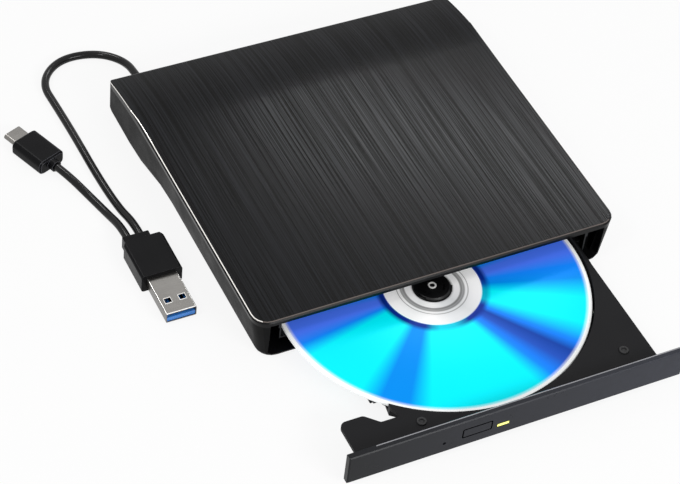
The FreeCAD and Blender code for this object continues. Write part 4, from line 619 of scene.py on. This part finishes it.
def build_floor(stage):
    """A pale floor that looks white and keeps a soft shadow."""
    half = stage.floor_size / 2
    corners = [(-half, -half), (half, -half), (half, half), (-half, half)]
    mesh = bpy.data.meshes.new("floor")
    mesh.from_pydata([(x, y, -floor_gap) for x, y in corners], [], [(0, 1, 2, 3)])
    floor = add_object("floor", mesh)
    material = bpy.data.materials.new("pale floor")
    tree = empty_tree(material)
    lit = add_node(tree, "ShaderNodeBsdfDiffuse", {"Color": tuple(stage.floor_colour)})
    bright = add_node(tree, "ShaderNodeEmission", {"Color": (1.0, 1.0, 1.0, 1.0), "Strength": 1.0})
    share = worked_out(tree, "MULTIPLY", white_to_eye_and_gloss(tree), 1 - stage.floor_shadow)
    both = add_node(tree, "ShaderNodeMixShader", {0: share, 1: lit.outputs[0], 2: bright.outputs[0]})
    add_node(tree, "ShaderNodeOutputMaterial", {"Surface": both.outputs[0]})
    mesh.materials.append(material)


def white_to_eye_and_gloss(tree):
    """One where the camera, a reflection or a refraction looks, and nought for scattered light."""
    path = add_node(tree, "ShaderNodeLightPath").outputs
    seen = worked_out(tree, "MAXIMUM", path["Is Camera Ray"], path["Is Glossy Ray"])
    return worked_out(tree, "MAXIMUM", seen, path["Is Transmission Ray"])


def build_lights(scene, stage):
    """An even pale sky, lamps on the left and in front, and two behind that only gloss shows."""
    world = bpy.data.worlds.new("pale sky")
    tree = empty_tree(world)
    sky = add_node(tree, "ShaderNodeBackground", {
        "Color": (1.0, 1.0, 1.0, 1.0),
        "Strength": mapped(tree, white_to_eye_and_gloss(tree), end=(stage.sky, 1.0))})
    add_node(tree, "ShaderNodeOutputWorld", {"Surface": sky.outputs[0]})
    scene.world = world
    # Each lamp's place, its width and depth in metres, its power, and whether more than gloss shows it.
    lamps = {
        "key lamp": ((-0.75, -0.25, 0.95), (0.2, 0.2), stage.key, True),
        "front lamp": ((0.25, -1.0, 0.6), (0.5, 0.3), stage.fill, True),
        "band lamp": ((0.42, 0.545, 0.632), (0.36, 0.05), stage.band, False),
        "lead lamp": ((-0.16, 0.62, 0.8), (0.1, 0.3), stage.lead, False),
    }
    for name, (place, (width, depth), power, scattered) in lamps.items():
        light = bpy.data.lights.new(name, "AREA")
        light.energy = power
        light.shape = "RECTANGLE"
        light.size = width
        light.size_y = depth
        lamp = add_object(name, light)
        lamp.location = place
        lamp.rotation_euler = (-Vector(place)).to_track_quat("-Z", "Y").to_euler()
        lamp.visible_diffuse = scattered


def build_camera(scene, stage):
    """The photograph's camera."""
    data = bpy.data.cameras.new("camera")
    data.lens = stage.lens
    data.sensor_fit = "HORIZONTAL"
    data.sensor_width = sensor_width
    data.clip_start = 10 * mm
    data.clip_end = 20.0
    camera = add_object("camera", data)
    right = camera_right.normalized()
    back = right.cross(camera_up).normalized()
    up = back.cross(right)
    turn = Matrix((right, up, back)).transposed().to_4x4()
    camera.matrix_world = Matrix.Translation(camera_place) @ turn
    scene.camera = camera


class DRIVE_OT_leads(bpy.types.Operator):
    """Lay the lead and its pigtail, and finish the grommet and both plugs"""
    bl_idname = "drive.leads"
    bl_label = "Leads and plugs"

    def execute(self, context):
        leads = context.scene.drive_leads
        # The edges of the grips and shells take a bright finish: painted highlight.
        plug_a = [
            pressed_rims(), refined("plug_a_body", 0.4 * mm, None, "painted_highlight_grip"),
            refined("plug_a_shell", 0.15 * mm, None, "painted_highlight_steel", mark_borders),
            refined("plug_a_tongue", 0.05 * mm), refined("plug_a_contacts", 0.0)]
        plug_c = [
            refined("plug_c_body", 0.35 * mm, None, "painted_highlight_grip"),
            refined("plug_c_shell", 0.1 * mm, None, "painted_highlight_steel"), refined("plug_c_tongue", 0.0)]
        grommet = refined("lead_grommet", 0.2 * mm)
        lead = lay_lead("main_cable", lead_route, leads.diameter, "main_lead")
        pigtail = lay_lead("pigtail_cable", pigtail_route, leads.diameter, "pigtail_lead")
        return {"FINISHED"}


def mark_borders(mesh):
    """Narrow bright lines, painted highlights, along the sides and the open end of the large plug's shell."""
    low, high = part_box("plug_a_shell")
    line = 0.4 * mm
    left, right, front = low.x + line, high.x - line, low.y + line

    def on_border(normal, middle):
        outside = middle.x < left or middle.x > right or middle.y < front
        return normal.z > mostly_up and middle.z > high.z - line and outside

    sides = [((place, 0, 0), (1, 0, 0)) for place in (left, right)]
    mark_faces(mesh, sides + [((0, front, 0), (0, 1, 0))], on_border)


def pressed_rims():
    """Raised rims that the press leaves round the plug shell's two windows, finished as a painted highlight.
    """
    low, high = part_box("plug_a_shell")
    centre = (low.x + high.x) / 2
    places = [(centre + side * window_spacing / 2, low.y + window_row, high.z) for side in (-1, 1)]
    line = 0.3 * mm
    rims = grow("pressed_rims", rim_tree(), places, {
        "Width": window_width + line, "Depth": window_depth + line, "Corner": 0.2 * mm,
        "Line": line, "Material": materials["painted_highlight_steel"]})
    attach(rims, "case")
    return rims


def lay_lead(name, route, diameter, node):
    """A round lead on one smooth line through a route's control points."""
    curve = bpy.data.curves.new(name, "CURVE")
    curve.dimensions = "3D"
    curve.bevel_depth = diameter / 2
    curve.bevel_resolution = 8
    curve.resolution_u = 16
    spline = curve.splines.new("NURBS")
    spline.points.add(len(route) - 1)
    for point, place in zip(spline.points, route):
        point.co = (*(Vector(place) * mm), 1.0)
    spline.order_u = 3
    spline.use_endpoint_u = True
    curve.use_fill_caps = True
    curve.materials.append(materials["lead_rubber"])
    lead = add_object(name, curve)
    take_over(lead, node)
    return lead


class DRIVE_OT_case(bpy.types.Operator):
    """Finish the brushed top cover, the moulded case and its feet"""
    bl_idname = "drive.case"
    bl_label = "Case"

    def execute(self, context):
        build_cover(context.scene.drive_cover)
        radius = context.scene.drive_case.edge_radius
        refined("bottom_shell", radius)
        grow_studs("rubber_feet", "ringed_feet", 1.5 * mm, 1.2 * mm, 0.3 * mm, down=True)
        drive_screws("case_screws", 0.8 * mm, 0.9 * mm)
        return {"FINISHED"}


# Numbers of the cover's materials.
brushed, bare, shaded, plain = range(4)


def build_cover(cover):
    """The top cover: brushed lacquer, with a thin cut line round its roof, bare on the left, painted shade
    elsewhere.
    """
    # The sides are lacquered over the bare sheet, so they are smooth and plain.
    side = worn_surface("plain lacquered side", cover.side, 0.3, even_grain(mm), 0.05, 0.1, gloss(0.12))
    piece = joined_copy("brushed_cover", "top_cover")
    mesh = piece.data
    for material in (brushed_lacquer(cover), cut_edge("bare cut aluminium", cover.edge),
                     cut_edge("tinted cut aluminium", cover.front_edge), side):
        mesh.materials.append(material)
    for face in mesh.polygons:
        if face.normal.z < roof_up:
            face.material_index = plain
    cut_line(mesh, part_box("top_cover")[1].z, cover.edge_width)
    even_shading(piece)
    take_over(piece, "top_cover")


def cut_line(mesh, roof, width):
    """Cut a narrow face along the outline of the roof: bare on the left, painted shade in front and on the
    right.
    """
    flat = [face for face in mesh.polygons if face.normal.z > level_up and face.center.z > roof - mm]
    corners = [mesh.vertices[index].co for face in flat for index in face.vertices]
    front = min(corner.y for corner in corners)
    side = max(corner.x for corner in corners)

    def on_outline(edge):
        upward = [face.normal.z > outline_up for face in edge.link_faces]
        level = [face.normal.z > level_up for face in edge.link_faces]
        at_side = all(abs(vertex.co.x) >= side for vertex in edge.verts)
        return any(upward) and not all(upward) and (any(level) or at_side)

    # In front the line is a darker copy of the bare one, and on the right it keeps the brushed finish:
    # painted shade.
    def finish_of(face):
        middle = face.calc_center_median()
        if middle.y < front + mm:
            return shaded
        return brushed if middle.x > 0 else bare

    cut_edges(mesh, width, on_outline, finish_of)


def cut_edges(mesh, width, wanted, finish_of):
    """Cut a narrow face along each wanted edge, in the material whose number finish_of gives."""
    shell = bmesh.new()
    shell.from_mesh(mesh)
    cut = bmesh.ops.bevel(
        shell, geom=[edge for edge in shell.edges if wanted(edge)], offset=width / 2, segments=1,
        affect="EDGES")
    for face in cut["faces"]:
        face.material_index = finish_of(face)
    shell.to_mesh(mesh)
    shell.free()


class DRIVE_OT_front(bpy.types.Operator):
    """Finish the front panel with its button and lamp"""
    bl_idname = "drive.front"
    bl_label = "Front panel"

    def execute(self, context):
        build_front_panel(context.scene.drive_case)
        refined("eject_button", 0.12 * mm)
        refined("lamp_lens", 0.1 * mm)
        surround("button_groove", "eject_button", 0.35 * mm, 0.3 * mm, "groove")
        surround("lamp_surround", "lamp_lens", 0.4 * mm, 0.45 * mm, "olive_shade_rim")
        return {"FINISHED"}


def build_front_panel(case):
    """The front panel, whose top has a painted highlight along its rear edge."""
    panel = joined_copy("front_panel", "bezel")
    panel.data.materials.append(materials["bezel_plastic"])
    panel.data.materials.append(materials["painted_highlight_plastic"])
    low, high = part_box("bezel")
    strip = high.y - chamfer - case.highlight_width
    start = low.x + strip_inset

    def on_strip(normal, middle):
        on_top = normal.z > mostly_up and middle.z > high.z - chamfer
        return on_top and middle.y > strip and middle.x > start

    mark_faces(panel.data, [((0, strip, 0), (0, 1, 0)), ((start, 0, 0), (1, 0, 0))], on_strip)
    soften(panel, case.edge_radius)
    take_over(panel, "bezel")


def surround(name, node, gap, line, finish):
    """A thin rim round the front face of a node, sunk into the front panel: painted shade round that face."""
    corners = [vertex.co for vertex in frame["nodes"][node].data.vertices]
    front = min(corner.y for corner in corners)
    depth = 0.05 * mm
    face = [corner for corner in corners if corner.y < front + depth]
    left, right = min(corner.x for corner in face), max(corner.x for corner in face)
    low, high = min(corner.z for corner in face), max(corner.z for corner in face)
    sunk = 0.35 * line
    rim = grow(name, rim_tree(), [((left + right) / 2, front + sunk, (low + high) / 2)], {
        "Width": right - left + gap, "Depth": high - low + gap, "Corner": 0.4 * mm, "Line": line,
        "Turn": (math.pi / 2, 0.0, 0.0), "Material": materials[finish]})
    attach(rim, "tray")


class DRIVE_OT_tray(bpy.types.Operator):
    """Finish the tray, its pads and its rails"""
    bl_idname = "drive.tray"
    bl_label = "Tray"

    def execute(self, context):
        refined("tray_frame", 0.15 * mm)
        grow_studs("bumper_pads", "ringed_pads", 0.85 * mm, 0.6 * mm, 0.25 * mm)
        drive_screws("tray_screws", 0.35 * mm, 0.6 * mm)
        refined("lens_shroud", 0.0)
        for node in ("rail_left", "rail_right", "latch_lever"):
            refined(node, 0.1 * mm)
        return {"FINISHED"}


class DRIVE_OT_disc(bpy.types.Operator):
    """Turn the disc and finish the hub that holds it"""
    bl_idname = "drive.disc"
    bl_label = "Disc and hub"

    def execute(self, context):
        disc = context.scene.drive_disc
        piece = grow("mirror_disc", ring_tree(), [tuple(disc_centre)], {
            "Radius": (disc.radius + disc.bore) / 2, "Width": disc.radius - disc.bore,
            "Height": disc.thickness, "Rounding": disc.rounding, "Material": mirror_colours(disc)})
        take_over(piece, "disc")
        refined("turntable", 0.12 * mm)
        refined("spindle_cap", 0.06 * mm, "turned_cap")
        for claw in ("hub_claw_1", "hub_claw_2", "hub_claw_3"):
            refined(claw, 0.08 * mm)
        return {"FINISHED"}


def start_tree(name, lengths):
    """A tree that takes places, some lengths, a turn and a material, and its inputs."""
    tree = bpy.data.node_groups.new(name, "GeometryNodeTree")
    tree.interface.new_socket("Places", in_out="INPUT", socket_type="NodeSocketGeometry")
    for length in lengths:
        tree.interface.new_socket(length, in_out="INPUT", socket_type="NodeSocketFloat")
    tree.interface.new_socket("Turn", in_out="INPUT", socket_type="NodeSocketVector")
    tree.interface.new_socket("Material", in_out="INPUT", socket_type="NodeSocketMaterial")
    tree.interface.new_socket("Pieces", in_out="OUTPUT", socket_type="NodeSocketGeometry")
    return tree, add_node(tree, "NodeGroupInput").outputs


def end_tree(tree, given, shapes):
    """Set the shapes at each place, turned as asked, make them real and give them their material."""
    whole = add_node(tree, "GeometryNodeJoinGeometry")
    for shape in shapes:
        tree.links.new(shape, whole.inputs[0])
    turn = add_node(tree, "FunctionNodeEulerToRotation", {"Euler": given["Turn"]})
    placed = add_node(tree, "GeometryNodeInstanceOnPoints", {
        "Points": given["Places"], "Instance": whole.outputs[0], "Rotation": turn.outputs[0]})
    real = add_node(tree, "GeometryNodeRealizeInstances", {0: placed.outputs[0]})
    finished = add_node(tree, "GeometryNodeSetMaterial", {
        "Geometry": real.outputs[0], "Material": given["Material"]})
    add_node(tree, "NodeGroupOutput", {0: finished.outputs[0]})
    return tree


def moved(tree, shape, up):
    """A shape moved along its own axis."""
    offset = add_node(tree, "ShaderNodeCombineXYZ", {"Z": up})
    return add_node(tree, "GeometryNodeTransform", {
        "Geometry": shape, "Translation": offset.outputs[0]}).outputs[0]


def swept(tree, path, section):
    """A smooth solid of a section along a path."""
    solid = add_node(tree, "GeometryNodeCurveToMesh", {"Curve": path, "Profile Curve": section})
    return add_node(tree, "GeometryNodeSetShadeSmooth", {
        "Geometry": solid.outputs[0], "Shade Smooth": True}).outputs[0]


def turned_ring(tree, radius, width, height, rounding, sides):
    """A ring of round-cornered section about its own axis."""
    circle = add_node(tree, "GeometryNodeCurvePrimitiveCircle", {
        "Resolution": sides, "Radius": radius})
    section = add_node(tree, "GeometryNodeCurvePrimitiveQuadrilateral", {
        "Width": width, "Height": height})
    rounded = add_node(tree, "GeometryNodeFilletCurve", {
        "Curve": section.outputs[0], "Radius": rounding, "Count": 3}, mode="POLY")
    return swept(tree, circle.outputs[0], rounded.outputs[0])


def ring_tree():
    """A turned ring at each place."""
    tree, given = start_tree("turned ring", ["Radius", "Width", "Height", "Rounding"])
    ring = turned_ring(tree, given["Radius"], given["Width"], given["Height"], given["Rounding"], disc_sides)
    return end_tree(tree, given, [ring])


def stud_tree():
    """A round stud at each place: a raised ring about a lower middle."""
    tree, given = start_tree("ringed stud", ["Radius", "Ring width", "Height", "Core height", "Rounding"])
    ring_radius = worked_out(
        tree, "SUBTRACT", given["Radius"], worked_out(tree, "DIVIDE", given["Ring width"], 2.0))
    ring = turned_ring(
        tree, ring_radius, given["Ring width"], given["Height"], given["Rounding"], stud_sides)
    core = add_node(tree, "GeometryNodeMeshCylinder", {
        "Vertices": stud_sides, "Radius": ring_radius, "Depth": given["Core height"]})
    drop = worked_out(tree, "SUBTRACT", given["Core height"], given["Height"])
    return end_tree(tree, given, [ring, moved(
        tree, core.outputs["Mesh"], worked_out(tree, "DIVIDE", drop, 2.0))])


def screw_tree():
    """A screw at each place: a chamfered head with a cross recess, facing down, and its shank above."""
    tree, given = start_tree("cross-recessed screw", [
        "Head radius", "Head height", "Shank radius", "Shank length", "Recess"])
    head = add_node(tree, "GeometryNodeMeshCone", {
        "Vertices": 32, "Radius Top": given["Head radius"], "Depth": given["Head height"],
        "Radius Bottom": worked_out(tree, "MULTIPLY", given["Head radius"], head_taper)})
    cutter = add_node(tree, "GeometryNodeMeshBoolean", {
        "Mesh 1": head.outputs["Mesh"]}, operation="DIFFERENCE", solver="EXACT")
    slot = worked_out(tree, "MULTIPLY", given["Recess"], slot_share)
    for along, across in ((given["Recess"], slot), (slot, given["Recess"])):
        size = add_node(tree, "ShaderNodeCombineXYZ", {
            "X": along, "Y": across, "Z": given["Head height"]})
        bar = add_node(tree, "GeometryNodeMeshCube", {"Size": size.outputs[0]})
        tree.links.new(bar.outputs["Mesh"], cutter.inputs["Mesh 2"])
    shank = add_node(tree, "GeometryNodeMeshCylinder", {
        "Vertices": 16, "Radius": given["Shank radius"], "Depth": given["Shank length"]})
    middle = worked_out(tree, "DIVIDE", given["Shank length"], 2.0)
    start = worked_out(tree, "MULTIPLY", given["Head height"], shank_start)
    return end_tree(tree, given, [cutter.outputs["Mesh"], moved(
        tree, shank.outputs["Mesh"], worked_out(tree, "ADD", middle, start))])


def rim_tree():
    """A thin round-cornered rim at each place."""
    tree, given = start_tree("thin rim", ["Width", "Depth", "Corner", "Line"])
    outline = add_node(tree, "GeometryNodeCurvePrimitiveQuadrilateral", {
        "Width": given["Width"], "Height": given["Depth"]})
    rounded = add_node(tree, "GeometryNodeFilletCurve", {
        "Curve": outline.outputs[0], "Radius": given["Corner"], "Count": 4}, mode="POLY")
    wire = add_node(tree, "GeometryNodeCurvePrimitiveCircle", {
        "Resolution": 10, "Radius": worked_out(tree, "DIVIDE", given["Line"], 2.0)})
    return end_tree(tree, given, [swept(tree, rounded.outputs[0], wire.outputs[0])])


def grow(name, tree, points, values):
    """Grow a piece from a tree at some points, and keep the result as a plain mesh."""
    mesh = bpy.data.meshes.new(name)
    mesh.from_pydata(points, [], [])
    piece = add_object(name, mesh)
    modifier = piece.modifiers.new(tree.name, "NODES")
    modifier.node_group = tree
    for item in tree.interface.items_tree:
        if item.item_type == "SOCKET" and item.in_out == "INPUT" and item.name in values:
            modifier[item.identifier] = values[item.name]
    grown = piece.evaluated_get(bpy.context.evaluated_depsgraph_get())
    result = bpy.data.meshes.new_from_object(grown)
    piece.modifiers.clear()
    piece.data = result
    result.name = name
    result.set_sharp_from_angle(angle=math.radians(crease_angle))
    return piece


def islands(node):
    """The lowest and highest corners of each separate solid of a frame node, from left to right."""
    shell = bmesh.new()
    shell.from_mesh(frame["nodes"][node].data)
    bmesh.ops.remove_doubles(shell, verts=shell.verts, dist=weld)
    unseen = set(shell.verts)
    boxes = []
    for first in shell.verts:
        if first not in unseen:
            continue
        unseen.discard(first)
        group = [first]
        for vertex in group:
            for edge in vertex.link_edges:
                other = edge.other_vert(vertex)
                if other in unseen:
                    unseen.discard(other)
                    group.append(other)
        boxes.append(tuple(
            Vector([choose(vertex.co[axis] for vertex in group) for axis in range(3)])
            for choose in (min, max)))
    shell.free()
    return sorted(boxes, key=lambda box: tuple(round(value, 5) for value in box[0]))


def drive_screws(node, head_height, shank_radius):
    """Cross-recessed screws, facing down, where a frame node has plain ones."""
    boxes = islands(node)
    low, high = boxes[0]
    places = [((low.x + high.x) / 2, (low.y + high.y) / 2, low.z) for low, high in boxes]
    radius = (high.y - low.y) / 2
    piece = grow(f"recessed_{node}", screw_tree(), places, {
        "Head radius": radius, "Head height": head_height, "Shank radius": shank_radius,
        "Shank length": high.z - low.z - head_height, "Recess": recess_share * radius,
        "Material": materials[slot_of(node)]})
    take_over(piece, node)


def grow_studs(node, name, ring_width, core_height, rounding, down=False):
    """Ringed studs where a frame node has plain round ones."""
    boxes = islands(node)
    low, high = boxes[0]
    places = [tuple((low + high) / 2) for low, high in boxes]
    piece = grow(name, stud_tree(), places, {
        "Radius": (high.x - low.x) / 2, "Ring width": ring_width, "Height": high.z - low.z,
        "Core height": core_height, "Rounding": rounding,
        "Turn": (math.pi if down else 0.0, 0.0, 0.0), "Material": materials[slot_of(node)]})
    take_over(piece, node)


class DRIVE_OT_inside(bpy.types.Operator):
    """Finish everything that the case and the tray hold"""
    bl_idname = "drive.inside"
    bl_label = "Inside"

    def execute(self, context):
        for node, carrier in frame["nodes"].items():
            for material_slot in carrier.material_slots:
                material_slot.material = materials.get(slot_of(node))
        build_film()
        return {"FINISHED"}


def build_film():
    """The flat film from the drive's board to the tray, cut across into bands."""
    film = joined_copy("folding_film", "flex_cable")
    film.data.materials.append(materials["flex_film"])
    low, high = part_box("flex_cable")
    places = [low.y + (high.y - low.y) * cut / film_cuts for cut in range(1, film_cuts)]
    mark_faces(film.data, [((0, place, 0), (0, 1, 0)) for place in places], lambda normal, middle: False)
    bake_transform(film)
    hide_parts("flex_cable")


class DRIVE_PT_panel(bpy.types.Panel):
    """Sizes and colours of the drive, and one button for each group of pieces"""
    bl_label = "Disc Drive"
    bl_space_type = "VIEW_3D"
    bl_region_type = "UI"
    bl_category = "Disc Drive"

    def draw(self, context):
        for name, group in settings_groups.items():
            box = self.layout.box()
            box.label(text=group.__doc__.strip("."))
            for entry in group.__annotations__:
                box.prop(getattr(context.scene, name), entry)
        for operator in operators:
            self.layout.operator(operator.bl_idname)


operators = [DRIVE_OT_stage, DRIVE_OT_leads, DRIVE_OT_case, DRIVE_OT_front, DRIVE_OT_tray, DRIVE_OT_disc,
             DRIVE_OT_inside]


def register():
    """Make the settings, the operators and the panel known."""
    for name, group in settings_groups.items():
        bpy.utils.register_class(group)
        setattr(bpy.types.Scene, name, PointerProperty(type=group))
    for kind in operators + [DRIVE_PT_panel]:
        bpy.utils.register_class(kind)


def unregister():
    """Take back what register made known."""
    for kind in reversed(operators + [DRIVE_PT_panel]):
        bpy.utils.unregister_class(kind)
    for name, group in reversed(settings_groups.items()):
        delattr(bpy.types.Scene, name)
        bpy.utils.unregister_class(group)


def main():
    """Build the drive group by group."""
    register()
    mix_materials(bpy.context.scene)
    for operator in operators:
        group, call = operator.bl_idname.split(".")
        getattr(getattr(bpy.ops, group), call)()


if __name__ == "__main__":
    main()
